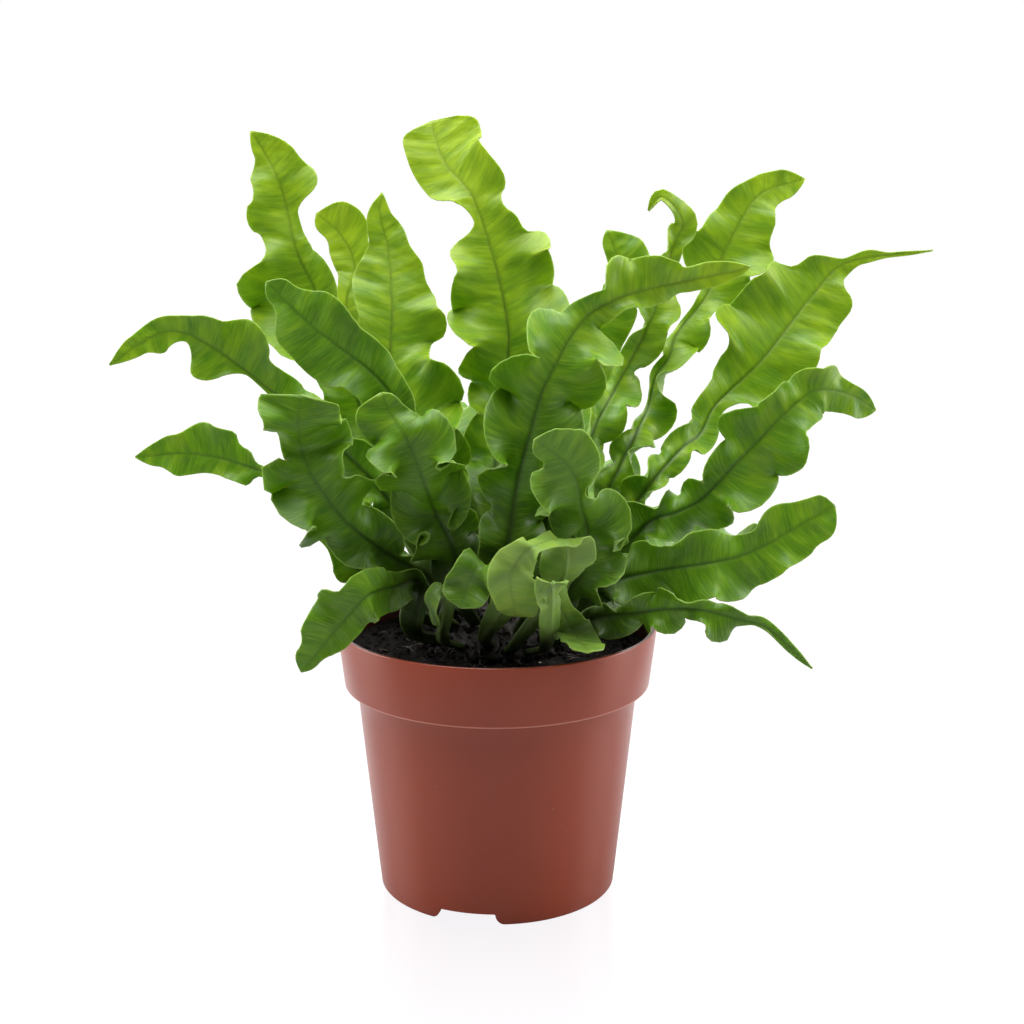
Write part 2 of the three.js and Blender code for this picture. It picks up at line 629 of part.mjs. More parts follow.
// The least depth to be added between two stations of two fronds, where they pass within reach.
// Fronds are listed from the front of the plant (-Y) to its back, and pass each other in that order.
function crossings(fronds) {
  const cells = new Map();
  const cellOf = (x, z) => Math.floor(x / REACH) * 4096 + Math.floor(z / REACH);
  fronds.forEach((frond, index) => {
    bladeRows(frond, evenPlaces(SETTLE_STATIONS), SETTLE_COLUMNS).forEach((row, station) => {
      row.forEach(({ x, y, z }) => {
        const cell = cellOf(x, z);
        if (!cells.has(cell)) cells.set(cell, []);
        cells.get(cell).push({ index, station, x, y, z });
      });
    });
  });
  const stations = SETTLE_STATIONS + 1;
  const wanted = new Map();
  const offsets = [-1, 0, 1];
  for (const [cell, here] of cells) {
    const near = offsets.flatMap((dx) => offsets.flatMap((dz) => cells.get(cell + dx * 4096 + dz) ?? []));
    for (const front of here) {
      for (const back of near) {
        const apart = (front.x - back.x) ** 2 + (front.z - back.z) ** 2;
        if (back.index <= front.index || apart > REACH * REACH) continue;
        const lack = CLEARANCE - (back.y - front.y);
        const key = ((front.index * stations + front.station) * fronds.length + back.index)
          * stations + back.station;
        if (lack > (wanted.get(key)?.lack ?? LOOSEST)) wanted.set(key, { key, front, back, lack });
      }
    }
  }
  return [...wanted.values()].sort((a, b) => a.key - b.key);
}

// How far each frond is drawn forward or back at each station, so that no frond crosses another
function settle(fronds) {
  const stations = SETTLE_STATIONS + 1;
  const free = Array.from({ length: stations }, (_, i) => Math.min(1, i / SETTLE_STATIONS / SETTLE_FIXED));
  const spread = free.map((_, at) => free.map((ease, i) => (
    ease * Math.exp(-(((i - at) / SETTLE_SPREAD) ** 2))
  )));
  const shifts = fronds.map(() => new Array(stations).fill(0));
  const pairs = crossings(fronds);
  for (let round = 0; round < SETTLE_ROUNDS; round += 1) {
    let worst = 0;
    for (const { front, back, lack } of pairs) {
      const over = lack - (shifts[back.index][back.station] - shifts[front.index][front.station]);
      const [give, take] = [free[front.station], free[back.station]];
      const total = give * give + take * take;
      if (over <= SETTLED / 2 || total < SETTLED) continue;
      for (let i = 0; i < stations; i += 1) {
        shifts[front.index][i] -= (spread[front.station][i] * over * give) / total;
        shifts[back.index][i] += (spread[back.station][i] * over * take) / total;
      }
      worst = Math.max(worst, over);
    }
    if (worst < 2 * SETTLED) break;
  }
  return shifts;
}

function shiftAt(shifts, along) {
  const place = along * SETTLE_STATIONS;
  const i = Math.min(Math.floor(place), SETTLE_STATIONS - 1);
  return THREE.MathUtils.lerp(shifts[i], shifts[i + 1], place - i);
}

// Places along a frond, closer together where a margin runs further or the blade turns over
function placesAlong(frond) {
  const rows = bladeRows(frond, evenPlaces(SETTLE_STATIONS), 2);
  const travelled = [0];
  rows.slice(1).forEach((row, i) => {
    travelled.push(travelled[i] + Math.max(...row.map((point, j) => point.distanceTo(rows[i][j]))));
  });
  const total = travelled[SETTLE_STATIONS];
  const stations = Math.max(FEWEST_STATIONS, Math.round(total / STATION_SPACING));
  const places = [0];
  let i = 0;
  for (let station = 1; station < stations; station += 1) {
    const wanted = (total * station) / stations;
    while (travelled[i + 1] < wanted) i += 1;
    const past = (wanted - travelled[i]) / (travelled[i + 1] - travelled[i]);
    places.push((i + past) / SETTLE_STATIONS);
  }
  places.push(1);
  return places;
}

// A blade with an upper and an under face split into triangles alike, closed round its margin
function makeFrond(frond, shifts) {
  const places = placesAlong(frond);
  const stations = places.length - 1;
  const rows = bladeRows(frond, places, COLUMNS);
  rows.forEach((row, i) => row.forEach((point) => { point.y += shiftAt(shifts, places[i]); }));
  const { away } = seatOf(frond);
  const points = [];
  rows.forEach((row, i) => {
    const along = places[i];
    const half = THREE.MathUtils.lerp(
      STALK_THICKNESS,
      BLADE_THICKNESS,
      THREE.MathUtils.smoothstep(along, STALK_END, WAVE_FULL),
    ) / 2;
    row.forEach((point, j) => {
      const lengthwise = rows[Math.min(i + 1, stations)][j].clone().sub(rows[Math.max(i - 1, 0)][j]);
      const crosswise = row[Math.min(j + 1, COLUMNS)].clone().sub(row[Math.max(j - 1, 0)]);
      const normal = lengthwise.cross(crosswise);
      if (i === 0) normal.addScaledVector(away, -normal.dot(away));
      normal.normalize();
      points.push(point.clone().addScaledVector(normal, half), point.clone().addScaledVector(normal, -half));
    });
  });
  const wide = COLUMNS + 1;
  const at = (i, j, under) => 2 * (i * wide + j) + under;
  const triangles = [];
  const quad = (a, b, c, d) => triangles.push(a, b, c, a, c, d);
  for (let i = 0; i < stations; i += 1) {
    for (let j = 0; j < COLUMNS; j += 1) {
      quad(at(i, j, 0), at(i + 1, j, 0), at(i + 1, j + 1, 0), at(i, j + 1, 0));
      triangles.push(at(i, j, 1), at(i + 1, j + 1, 1), at(i + 1, j, 1));
      triangles.push(at(i, j, 1), at(i, j + 1, 1), at(i + 1, j + 1, 1));
    }
    quad(at(i, 0, 0), at(i, 0, 1), at(i + 1, 0, 1), at(i + 1, 0, 0));
    quad(at(i, COLUMNS, 0), at(i + 1, COLUMNS, 0), at(i + 1, COLUMNS, 1), at(i, COLUMNS, 1));
  }
  for (let j = 0; j < COLUMNS; j += 1) {
    quad(at(0, j, 0), at(0, j + 1, 0), at(0, j + 1, 1), at(0, j, 1));
    quad(at(stations, j, 0), at(stations, j, 1), at(stations, j + 1, 1), at(stations, j + 1, 0));
  }
  const geometry = new THREE.BufferGeometry();
  const positions = points.flatMap((point) => [point.x, point.y, point.z]);
  geometry.setAttribute('position', new THREE.Float32BufferAttribute(positions, 3));
  geometry.setIndex(triangles);
  return geometry;
}

const plant = new THREE.Group();
plant.add(namedMesh('pot', makePot(), materials.pot));
plant.add(namedMesh('soil', makeSoil(), materials.soil));
plant.add(namedMesh('crown', makeCrown(), materials.crown));
const shifts = settle(FRONDS);
FRONDS.forEach((frond, index) => {
  plant.add(namedMesh(`frond_${frond.name}`, makeFrond(frond, shifts[index]), materials.frond));
});

// The origin lies on the ground under the middle of the plant's spread
const spread = new THREE.Box3().setFromObject(plant).getCenter(new THREE.Vector3());
plant.position.set(-spread.x, -spread.y, 0);
const pottedFern = new THREE.Group();
pottedFern.add(plant);

export default pottedFern;
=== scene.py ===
"""A potted bird's-nest fern with crisped fronds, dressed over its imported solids.

Lengths in the sections below are millimetres round the pot's axis, and metres in Blender.
"""
import math
from dataclasses import dataclass

import bmesh
import bpy
import numpy as np
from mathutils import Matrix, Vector, noise


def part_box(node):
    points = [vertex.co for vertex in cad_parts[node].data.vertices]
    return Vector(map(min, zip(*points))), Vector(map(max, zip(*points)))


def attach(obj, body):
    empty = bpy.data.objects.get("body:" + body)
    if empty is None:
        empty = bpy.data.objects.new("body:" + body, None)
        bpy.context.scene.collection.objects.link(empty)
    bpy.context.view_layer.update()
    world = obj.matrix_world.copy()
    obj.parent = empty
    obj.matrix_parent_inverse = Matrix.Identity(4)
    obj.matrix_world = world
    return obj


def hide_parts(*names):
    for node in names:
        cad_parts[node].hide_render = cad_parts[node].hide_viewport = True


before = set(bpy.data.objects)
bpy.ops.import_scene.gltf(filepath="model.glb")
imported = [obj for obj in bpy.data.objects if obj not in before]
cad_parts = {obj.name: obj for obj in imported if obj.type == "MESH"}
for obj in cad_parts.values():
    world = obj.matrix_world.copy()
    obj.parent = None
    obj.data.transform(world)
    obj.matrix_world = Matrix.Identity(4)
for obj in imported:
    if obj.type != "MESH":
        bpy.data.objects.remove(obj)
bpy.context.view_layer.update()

# The plant stands with its pot's axis upright. The solids' origin lies under the middle of the
# fronds' spread, so every piece is placed from the axis of the pot.
MM = 0.001
pot_low, pot_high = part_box("pot")
POT_AXIS = np.array([(pot_low.x + pot_high.x) / 2, (pot_low.y + pot_high.y) / 2, 0.0])


def on_axis(points):
    """Millimetres round the pot's axis, as metres in the frame."""
    return np.asarray(points, float) * MM + POT_AXIS


# The camera stands about 600 mm in front of the pot's axis, nearly as high as the tallest frond,
# and looks down a little.
CAMERA_FROM_AXIS = (5.6, -609.0, 275.4)
CAMERA_PITCH = 12.2
CAMERA_LENS = 59.06
SENSOR_WIDTH = 36.0

camera_data = bpy.data.cameras.new("camera")
camera_data.lens = CAMERA_LENS
camera_data.sensor_width = SENSOR_WIDTH
camera = bpy.data.objects.new("camera", camera_data)
camera.location = on_axis(CAMERA_FROM_AXIS)
camera.rotation_euler = (math.radians(90 - CAMERA_PITCH), 0, 0)
bpy.context.collection.objects.link(camera)
bpy.context.scene.camera = camera


# The studio is a round white table in a white room, lit by large soft boxes above, behind and on
# both sides. The camera sees the table overexposed, with a faint pink reflection of the pot.
WHITE = (1, 1, 1, 1)
ROOM_DEPTH = (-0.8, 0.4)
ROOM_LIGHT = (0.1, 0.95)
TABLE_RADIUS = 3000.0
TABLE_SIDES = 96
TABLE_COLOUR = (0.42, 0.41, 0.42, 1)
TABLE_ROUGHNESS = 0.4
POLISH_ROUGHNESS = 0.2
WASH_REACH = (30.0 * MM, 170.0 * MM)
WASH_COVER = (0.82, 1.0)
WASH_COLOUR = (1.08, 1.06, 1.08, 1.0)

scene = bpy.context.scene
scene.view_settings.view_transform = "Standard"


def fill(tree, node, values):
    """Sets a node's inputs, each to a value or from another node's output."""
    for socket, value in values.items():
        if isinstance(value, bpy.types.NodeSocket):
            tree.links.new(value, node.inputs[socket])
        else:
            node.inputs[socket].default_value = value


def new_node(tree, kind, values=None, **settings):
    """The outputs of a new node with these settings and inputs."""
    node = tree.nodes.new(kind)
    for setting, value in settings.items():
        setattr(node, setting, value)
    fill(tree, node, values or {})
    return node.outputs


def remapped(tree, value, low, high, to_low, to_high):
    return new_node(tree, "ShaderNodeMapRange", {
        "Value": value, "From Min": low, "From Max": high, "To Min": to_low, "To Max": to_high,
    })[0]


def vector_math(tree, operation, values):
    return new_node(tree, "ShaderNodeVectorMath", values, operation=operation)


def for_camera(tree, others, seen):
    """One shader for the camera's own rays, and another for all the rest."""
    camera_ray = new_node(tree, "ShaderNodeLightPath")["Is Camera Ray"]
    return new_node(tree, "ShaderNodeMixShader", {0: camera_ray, 1: others, 2: seen})[0]


def object_place(tree):
    return new_node(tree, "ShaderNodeTexCoord")["Object"]


def new_material(name, roughness=0.5):
    """A material with its node tree and its shader."""
    material = bpy.data.materials.new(name)
    material.use_nodes = True
    tree = material.node_tree
    shader = tree.nodes["Principled BSDF"]
    fill(tree, shader, {"Roughness": roughness})
    return material, tree, shader


def linear(red, green, blue):
    """A colour as it is seen, in steps of 255, for a shader's socket."""
    def channel(value):
        value /= 255
        return value / 12.92 if value <= 0.04045 else ((value + 0.055) / 1.055) ** 2.4
    return (channel(red), channel(green), channel(blue), 1.0)


def mesh_object(name, points, faces, material):
    """A smooth-shaded object from points in metres."""
    mesh = bpy.data.meshes.new(name)
    mesh.from_pydata([tuple(p) for p in points], [], faces)
    mesh.materials.append(material)
    mesh.shade_smooth()
    piece = bpy.data.objects.new(name, mesh)
    bpy.context.collection.objects.link(piece)
    return piece


table_white, tree, shader = new_material("white_table", TABLE_ROUGHNESS)
fill(tree, shader, {"Base Color": TABLE_COLOUR})
angles = np.linspace(0, 2 * math.pi, TABLE_SIDES, endpoint=False)
edge = [(TABLE_RADIUS * math.cos(a), TABLE_RADIUS * math.sin(a), 0) for a in angles]
table = mesh_object("table", on_axis(edge), [tuple(range(TABLE_SIDES))], table_white)
from_pot = vector_math(tree, "DISTANCE", {0: object_place(tree), 1: POT_AXIS})["Value"]
wash = remapped(tree, from_pot, *WASH_REACH, *WASH_COVER)
polish = new_node(tree, "ShaderNodeBsdfGlossy", {"Roughness": POLISH_ROUGHNESS})
bright = new_node(tree, "ShaderNodeEmission", {"Color": WASH_COLOUR})
washed = new_node(tree, "ShaderNodeMixShader", {0: wash, 1: polish[0], 2: bright[0]})
table_seen = for_camera(tree, shader.outputs[0], washed[0])
fill(tree, tree.nodes["Material Output"], {0: table_seen})

world = bpy.data.worlds.new("white_room")
world.use_nodes = True
scene.world = world
tree = world.node_tree
axes = new_node(tree, "ShaderNodeSeparateXYZ", {0: object_place(tree)})
room = tree.nodes["Background"]
room_light = remapped(tree, axes["Y"], *ROOM_DEPTH, *ROOM_LIGHT)
fill(tree, room, {"Color": WHITE, "Strength": room_light})
backdrop = new_node(tree, "ShaderNodeBackground", {"Color": WHITE, "Strength": 1.0})
room_seen = for_camera(tree, room.outputs[0], backdrop[0])
fill(tree, tree.nodes["World Output"], {0: room_seen})

# rectangular soft boxes that the camera doesn't see
for name, place, aim, size, power in (
    ("box_above", (-100, -80, 1150), (0, 0, 150), (1100, 900), 19),
    ("box_left", (-1200, 150, 500), (0, 0, 150), (700, 1000), 10),
    ("box_right", (1250, 100, 500), (0, 0, 150), (700, 1000), 12),
    ("box_behind", (0, 1200, 700), (0, 0, 200), (2400, 1500), 16),
):
    light = bpy.data.lights.new(name, "AREA")
    light.shape = "RECTANGLE"
    light.size = size[0] * MM
    light.size_y = size[1] * MM
    light.energy = power
    lamp = bpy.data.objects.new(name, light)
    lamp.location = on_axis(place)
    facing = Vector(on_axis(aim)) - lamp.location
    lamp.rotation_euler = facing.to_track_quat("-Z", "Y").to_euler()
    lamp.visible_camera = False
    bpy.context.collection.objects.link(lamp)


# The pot is injection-moulded polypropylene in terracotta brown, a thin tapered wall with a
# collar and a slim lip, on a foot ring with three notches. Its floor has drain holes.
POT_HEIGHT = 102.0
RIM_RADIUS = 60.0
LIP_WIDTH = 1.1
LIP_DROP = 1.0
LIP_EDGE = 0.2
COLLAR_HEIGHT = 22.7
COLLAR_FOOT_RADIUS = 57.4
COLLAR_CORNER = 0.5
COLLAR_FILLET = 0.6
BODY_TOP_RADIUS = 52.9
BODY_RINGS = 9
BODY_ENDS = (6.0, 0.7)
FOOT_RADIUS = 44.8
WALL = 1.2
FLOOR_UNDERSIDE = 4.3
FLOOR_THICKNESS = 1.4
FOOT_RING_WIDTH = 2.2
NOTCH_WIDTH = 21.0
NOTCH_AZIMUTHS = (-104, 16, 136)
NOTCH_PAST_RING = (3.0, 4.0)
FOOT_CORNER = 3.9
EDGE = 0.6
CUT_OVER = 2.0
DRAIN_RADIUS = 4.0
DRAIN_CIRCLE_RADIUS = 29.0
DRAIN_COUNT = 6
TURNED_SIDES = 192
SHARP_ANGLE = math.radians(40)

POT_BROWN = linear(136, 46, 12)
POT_BROWN_WORN = linear(144, 54, 18)
POT_SHEEN = (0.26, 0.38)
STREAK_SCALE = (60, 60, 9)
SPECK_SCALE = 130
SPECK_SIZE = (0.05, 0.02)
SPECK_COLOUR = linear(176, 128, 108)
SPECK_COVER = 0.35
# painted highlight: a pale line along the collar's lower edge, where its rounding catches light from
# below
EDGE_HIGHLIGHT_HALF_HEIGHT = 0.3
EDGE_HIGHLIGHT_COLOUR = linear(206, 140, 122)
EDGE_HIGHLIGHT_COVER = 0.6
# painted shade on the lip's inner edge and on the wall inside the rim
SHADE_INSET = 0.2
INNER_SHADE_COLOUR = linear(74, 26, 14)
PEEL_SCALE = 900
PEEL_STRENGTH = 0.06
PEEL_DEPTH = 0.3 * MM

COLLAR_FOOT = POT_HEIGHT - COLLAR_HEIGHT
FLOOR_TOP = FLOOR_UNDERSIDE + FLOOR_THICKNESS


def body_radius(height):
    return FOOT_RADIUS + (BODY_TOP_RADIUS - FOOT_RADIUS) * height / COLLAR_FOOT


def arc(centre, radius, start, end, steps=5):
    """Points on a profile's rounded edge, from one angle to another."""
    angles = np.radians(np.linspace(start, end, steps))
    return [(centre[0] + radius * math.cos(a), centre[1] + radius * math.sin(a)) for a in angles]


def outwards(piece):
    """Turns the faces of a closed piece to point out of it."""
    work = bmesh.new()
    work.from_mesh(piece.data)
    bmesh.ops.recalc_face_normals(work, faces=work.faces)
    work.to_mesh(piece.data)
    work.free()


def turned(name, profile, material, sides=TURNED_SIDES):
    """A closed turned piece: the profile runs from the axis, round the outside, to the axis."""
    points = []
    rings = []
    for radius, height in profile:
        if radius == 0:
            rings.append([len(points)])
            points.append((0, 0, height))
            continue
        rings.append(range(len(points), len(points) + sides))
        for side in range(sides):
            angle = 2 * math.pi * side / sides
            points.append((radius * math.cos(angle), radius * math.sin(angle), height))
    faces = []
    for lower, upper in zip(rings, rings[1:]):
        for side in range(sides):
            after = (side + 1) % sides
            if len(lower) == 1:
                faces.append((lower[0], upper[after], upper[side]))
            elif len(upper) == 1:
                faces.append((lower[side], lower[after], upper[0]))
            else:
                faces.append((lower[side], lower[after], upper[after], upper[side]))
    piece = mesh_object(name, on_axis(points), faces, material)
    outwards(piece)
    return piece


def plain_mesh(piece):
    """Makes the piece's modifiers part of its mesh."""
    depsgraph = bpy.context.evaluated_depsgraph_get()
    mesh = bpy.data.meshes.new_from_object(piece.evaluated_get(depsgraph), depsgraph=depsgraph)
    piece.modifiers.clear()
    piece.data = mesh


def finished(piece, slot, *replaced):
    """The piece goes with the plant and stands for its solids."""
    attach(piece, "root")
    if replaced:
        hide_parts(*replaced)


def cutter_between(name, first, second):
    """A closed piece between two like outlines, to be cut out of the pot."""
    count = len(first)
    faces = [tuple(range(count)), tuple(reversed(range(count, 2 * count)))]
    for i in range(count):
        after = (i + 1) % count
        faces.append((i, after, after + count, i + count))
    piece = mesh_object(name, on_axis(first + second), faces, pot_plastic)
    outwards(piece)
    return piece


def cut_away(piece, cutters):
    """Cuts the cutters out of the piece, and removes them."""
    for cutter in cutters:
        boolean = piece.modifiers.new("cut", "BOOLEAN")
        boolean.operation = "DIFFERENCE"
        boolean.solver = "EXACT"
        boolean.object = cutter
    plain_mesh(piece)
    for cutter in cutters:
        bpy.data.objects.remove(cutter)


def blended(tree, factor, first, second):
    """Two colours mixed by a factor, each a value or another node's output."""
    values = {"Factor": factor, "A": first, "B": second}
    return new_node(tree, "ShaderNodeMix", values, data_type="RGBA")["Result"]


def combined(tree, operation, *values):
    values = dict(enumerate(values))
    return new_node(tree, "ShaderNodeMath", values, operation=operation)[0]


def noise_at(tree, place, scale, detail=2.0):
    values = {"Vector": place, "Scale": scale, "Detail": detail}
    return new_node(tree, "ShaderNodeTexNoise", values)["Fac"]


def bumped(tree, height, strength, depth):
    values = {"Strength": strength, "Distance": depth, "Height": height}
    return new_node(tree, "ShaderNodeBump", values)[0]


# moulded plastic: faint flow streaks down the wall, a fine orange-peel surface, a few pale
# specks, and a painted highlight: a pale line along the collar's lower edge
pot_plastic, tree, shader = new_material("moulded_pot_plastic")
place = object_place(tree)
height = new_node(tree, "ShaderNodeSeparateXYZ", {0: place})["Z"]
stretch = new_node(tree, "ShaderNodeMapping", {"Vector": place, "Scale": STREAK_SCALE})
streaks = noise_at(tree, stretch[0], 1.0, 3)
brown = blended(tree, streaks, POT_BROWN, POT_BROWN_WORN)
specks = new_node(tree, "ShaderNodeTexVoronoi", {"Vector": place, "Scale": SPECK_SCALE})
few = remapped(tree, specks["Distance"], *SPECK_SIZE, 0, SPECK_COVER)
dusty = blended(tree, few, brown, SPECK_COLOUR)
# painted highlight along the collar's lower edge
edge_highlight_height = (COLLAR_FOOT + EDGE_HIGHLIGHT_HALF_HEIGHT) * MM
at_edge = combined(tree, "COMPARE", height, edge_highlight_height, EDGE_HIGHLIGHT_HALF_HEIGHT * MM)
with_edge_highlight = blended(tree, combined(tree, "MULTIPLY", at_edge, EDGE_HIGHLIGHT_COVER), dusty, EDGE_HIGHLIGHT_COLOUR)

# the lip's inner edge and the wall inside it are darkened: painted shade inside the rim
level = vector_math(tree, "MULTIPLY", {0: place, 1: (1, 1, 0)})[0]
from_axis = vector_math(tree, "DISTANCE", {0: level, 1: POT_AXIS})["Value"]
wall_inside = remapped(
    tree, height, COLLAR_FOOT * MM, POT_HEIGHT * MM,
    (COLLAR_FOOT_RADIUS - SHADE_INSET) * MM, (RIM_RADIUS - SHADE_INSET) * MM,
)
inside = combined(tree, "LESS_THAN", from_axis, wall_inside)
in_collar = combined(tree, "GREATER_THAN", height, (COLLAR_FOOT + WALL) * MM)
inner_shade = combined(tree, "MULTIPLY", inside, in_collar)
peel = noise_at(tree, place, PEEL_SCALE)
fill(tree, shader, {
    "Base Color": blended(tree, inner_shade, with_edge_highlight, INNER_SHADE_COLOUR),
    "Roughness": remapped(tree, streaks, 0, 1, *POT_SHEEN),
    "Specular IOR Level": 0.42,
    "Coat Weight": 0.18,
    "Coat Roughness": 0.14,
    "Normal": bumped(tree, peel, PEEL_STRENGTH, PEEL_DEPTH),
})

foot_inside = FOOT_RADIUS - FOOT_RING_WIDTH
inner_step = COLLAR_FOOT + WALL
lip_inside = RIM_RADIUS - LIP_WIDTH
body_heights = np.linspace(BODY_ENDS[0], COLLAR_FOOT - BODY_ENDS[1], BODY_RINGS)
fillet_centre = (BODY_TOP_RADIUS + COLLAR_FILLET, COLLAR_FOOT - COLLAR_FILLET)
corner_centre = (COLLAR_FOOT_RADIUS - COLLAR_CORNER, COLLAR_FOOT + COLLAR_CORNER)
pot = turned("pot_moulded", [
    (0, FLOOR_UNDERSIDE),
    (foot_inside, FLOOR_UNDERSIDE),
    (foot_inside, EDGE / 2),
    *arc((foot_inside + EDGE / 2, EDGE / 2), EDGE / 2, 180, 270, 3)[1:],
    *arc((FOOT_RADIUS - EDGE, EDGE), EDGE, 270, 360),
    *[(body_radius(z), z) for z in body_heights],
    *arc(fillet_centre, COLLAR_FILLET, 180, 90, 4),
    *arc(corner_centre, COLLAR_CORNER, 270, 360),
    *arc((RIM_RADIUS - EDGE, POT_HEIGHT - EDGE), EDGE, 0, 90),
    *arc((lip_inside + LIP_EDGE, POT_HEIGHT - LIP_EDGE), LIP_EDGE, 90, 180, 3),
    (lip_inside, POT_HEIGHT - LIP_DROP),
    (lip_inside - WALL, POT_HEIGHT - LIP_DROP),
    (COLLAR_FOOT_RADIUS - WALL, inner_step),
    (BODY_TOP_RADIUS - WALL, inner_step),
    (body_radius(FLOOR_TOP) - WALL, FLOOR_TOP),
    (0, FLOOR_TOP),
], pot_plastic)

half_notch = NOTCH_WIDTH / 2
ceiling_corner = FLOOR_UNDERSIDE - FOOT_CORNER
right_half = [
    *arc((half_notch - ceiling_corner, FOOT_CORNER), ceiling_corner, 90, 0, 3)[:-1],
    *arc((half_notch + FOOT_CORNER, FOOT_CORNER), FOOT_CORNER, 180, 270, 7),
    (half_notch + FOOT_CORNER, -CUT_OVER),
]
notch_outline = right_half + [(-breadth, height) for breadth, height in reversed(right_half)]
cutters = []
for azimuth in NOTCH_AZIMUTHS:
    out = np.array([math.cos(math.radians(azimuth)), math.sin(math.radians(azimuth)), 0])
    across = np.array([-out[1], out[0], 0])
    ends = [
        [out * radius + across * breadth + (0, 0, height) for breadth, height in notch_outline]
        for radius in (foot_inside - NOTCH_PAST_RING[0], FOOT_RADIUS + NOTCH_PAST_RING[1])
    ]
    cutters.append(cutter_between("notch", *ends))
for hole in range(DRAIN_COUNT):
    turn = 2 * math.pi * hole / DRAIN_COUNT
    centre = (DRAIN_CIRCLE_RADIUS * math.cos(turn), DRAIN_CIRCLE_RADIUS * math.sin(turn))
    ends = [
        [(x, y, height) for x, y in arc(centre, DRAIN_RADIUS, 0, 345, 24)]
        for height in (FLOOR_UNDERSIDE - CUT_OVER, FLOOR_TOP + CUT_OVER)
    ]
    cutters.append(cutter_between("drain", *ends))
cut_away(pot, cutters)
pot.data.set_sharp_from_angle(angle=SHARP_ANGLE)
finished(pot, "pot", "pot")


# The fronds are leathery, glossy leaves with a sunken midrib, fine side veins that run out to the
# margin, and a margin that curls up and down between its lobes. They are listed from the front of
# the plant to its back, in the order in which they pass each other.
CROWN_CENTRE_HEIGHT = 85.0
CROWN_CENTRE = np.array([0, 0, CROWN_CENTRE_HEIGHT])
CROWN_RADIUS = 26.0
SEAT_GAP = 0.3
STALK_HALF_WIDTH = 2.3
STALK_STRAIGHT = 12.0
STALK_END = 0.07
STALK_THICKNESS = 2.4
BLADE_THICKNESS = 0.55
MARGIN_THICKNESS = 0.22
MARGIN_POWER = 6
TIP_HALF_WIDTH = 0.35
TIP_FULLNESS = 0.85
CUP = math.radians(12)
LOBE_BULGE = 0.11
WAVE_START = 0.10
WAVE_FULL = 0.32
WAVE_FADE = 0.88
TIP_CALM = 0.7
NUDGE = 1e-3
NEARLY_FLAT = 1e-4
STATION_SPACING = 1.4
MEASURED_STATIONS = 201
ACROSS_HALF = (
    0, 0.03, 0.07, 0.12, 0.18, 0.26, 0.35, 0.44, 0.53, 0.62, 0.71, 0.8, 0.88, 0.945, 0.98, 1,
)
DEPTH_REACH = (-77.5, 121.7)
DEPTH_EASE = 5.0

# how the fronds are drawn apart, where one passes in front of another
CLEARANCE = 3.2
REACH = 3.0
SETTLE_STATIONS = 64
SETTLE_COLUMNS = 10
SETTLE_SPREAD = 5.0
SETTLE_ROUNDS = 160
SETTLE_FIXED = 0.15
SETTLED = 0.025
LOOSEST = -30.0

# the leaf's relief: its rib, the pleats between its veins, and soft folds
LEAF_SEED = 300
FORM_FULL = (0.05, 0.25)
RIB_DEPTH = 0.45
RIB_HALF_WIDTH = (1.5, 0.55)
RIB_NARROWS = (0.1, 0.5)
RIB_FADE = 0.75
RIB_FADE_START = 0.3
RIB_UNDER = 0.9
PLEAT_DEPTH = 0.16
PLEAT_LENGTHS = (5.3, 3.4, 2.2)
PLEAT_DRIFT = 1.2
PLEAT_DRIFT_LENGTH = 2.7
PLEAT_START = 0.3
FOLD_DEPTH = (0.95, 0.2)
FOLD_LENGTHS = (15.0, 9.5)
FOLD_DRIFT = 1.4
FOLD_DRIFT_LENGTH = 2.3
FOLD_START = (0.05, 0.6)
RELIEF_REACH = (1.5, 7.0)
VEIN_SLANT = 0.32
VEIN_SCALE = (50.0, 12.0)
OTHER_SIDE = 40.0
NEXT_LEAF = 3.7

# the leaf's colours, and where they are marked on it
MARGIN_WIDTH = 0.55
# painted shade: the feet of the leaves darken near the crown, less so at the lit front of the plant
FOOT_SHADE_REACH = (30.0, 90.0)
FRONT_LIT = (-60.0, -36.0)
NEAR_FEET = (34.0, 58.0)
LEAF_MATURE = linear(38, 76, 2)
LEAF_GROWN = linear(88, 132, 8)
LEAF_YOUNG = linear(158, 182, 26)
TONE_PATCHES = (0.3, 0.7, -0.16, 0.16)
STREAK_COVER = (0.35, 0.65, 0, 0.34)
FINE_STREAK_COVER = (0.5, 0.68, 0, 0.36)
LEAF_SHEEN = (0.3, 0.7, 0.38, 0.48)
VEIN_BUMP = (0.35, 0.2 * MM)


@dataclass
class Frond:
    """One leaf.

    seat: tilt from the vertical and azimuth on the crown. curl, turn: bend of the margin between
    lobes, and roll of the blade about its midrib, both at even steps. tone: from mature dark
    green, 0, to young yellow-green, 1, at the foot and at the tip. path: the midrib past the
    stalk. left, right: the lobes' places in hundredths of the frond, and the half widths there.
    face: the azimuth the upper side faces. blunt: how full the tip is. level: the blade arches
    over, level from side to side. pale: how much of the under side's paler colour the upper side
    gets, as a painted sheen.
    """
    name: str
    seat: tuple
    curl: tuple
    tone: tuple
    path: list
    left: tuple
    right: tuple
    face: float = 90
    turn: tuple = (0,)
    blunt: float = 2.2
    level: bool = False
    pale: float = 0


FRONDS = []


def add_frond(name, **form):
    """Adds a frond behind those that come before it."""
    FRONDS.append(Frond(name, **form))


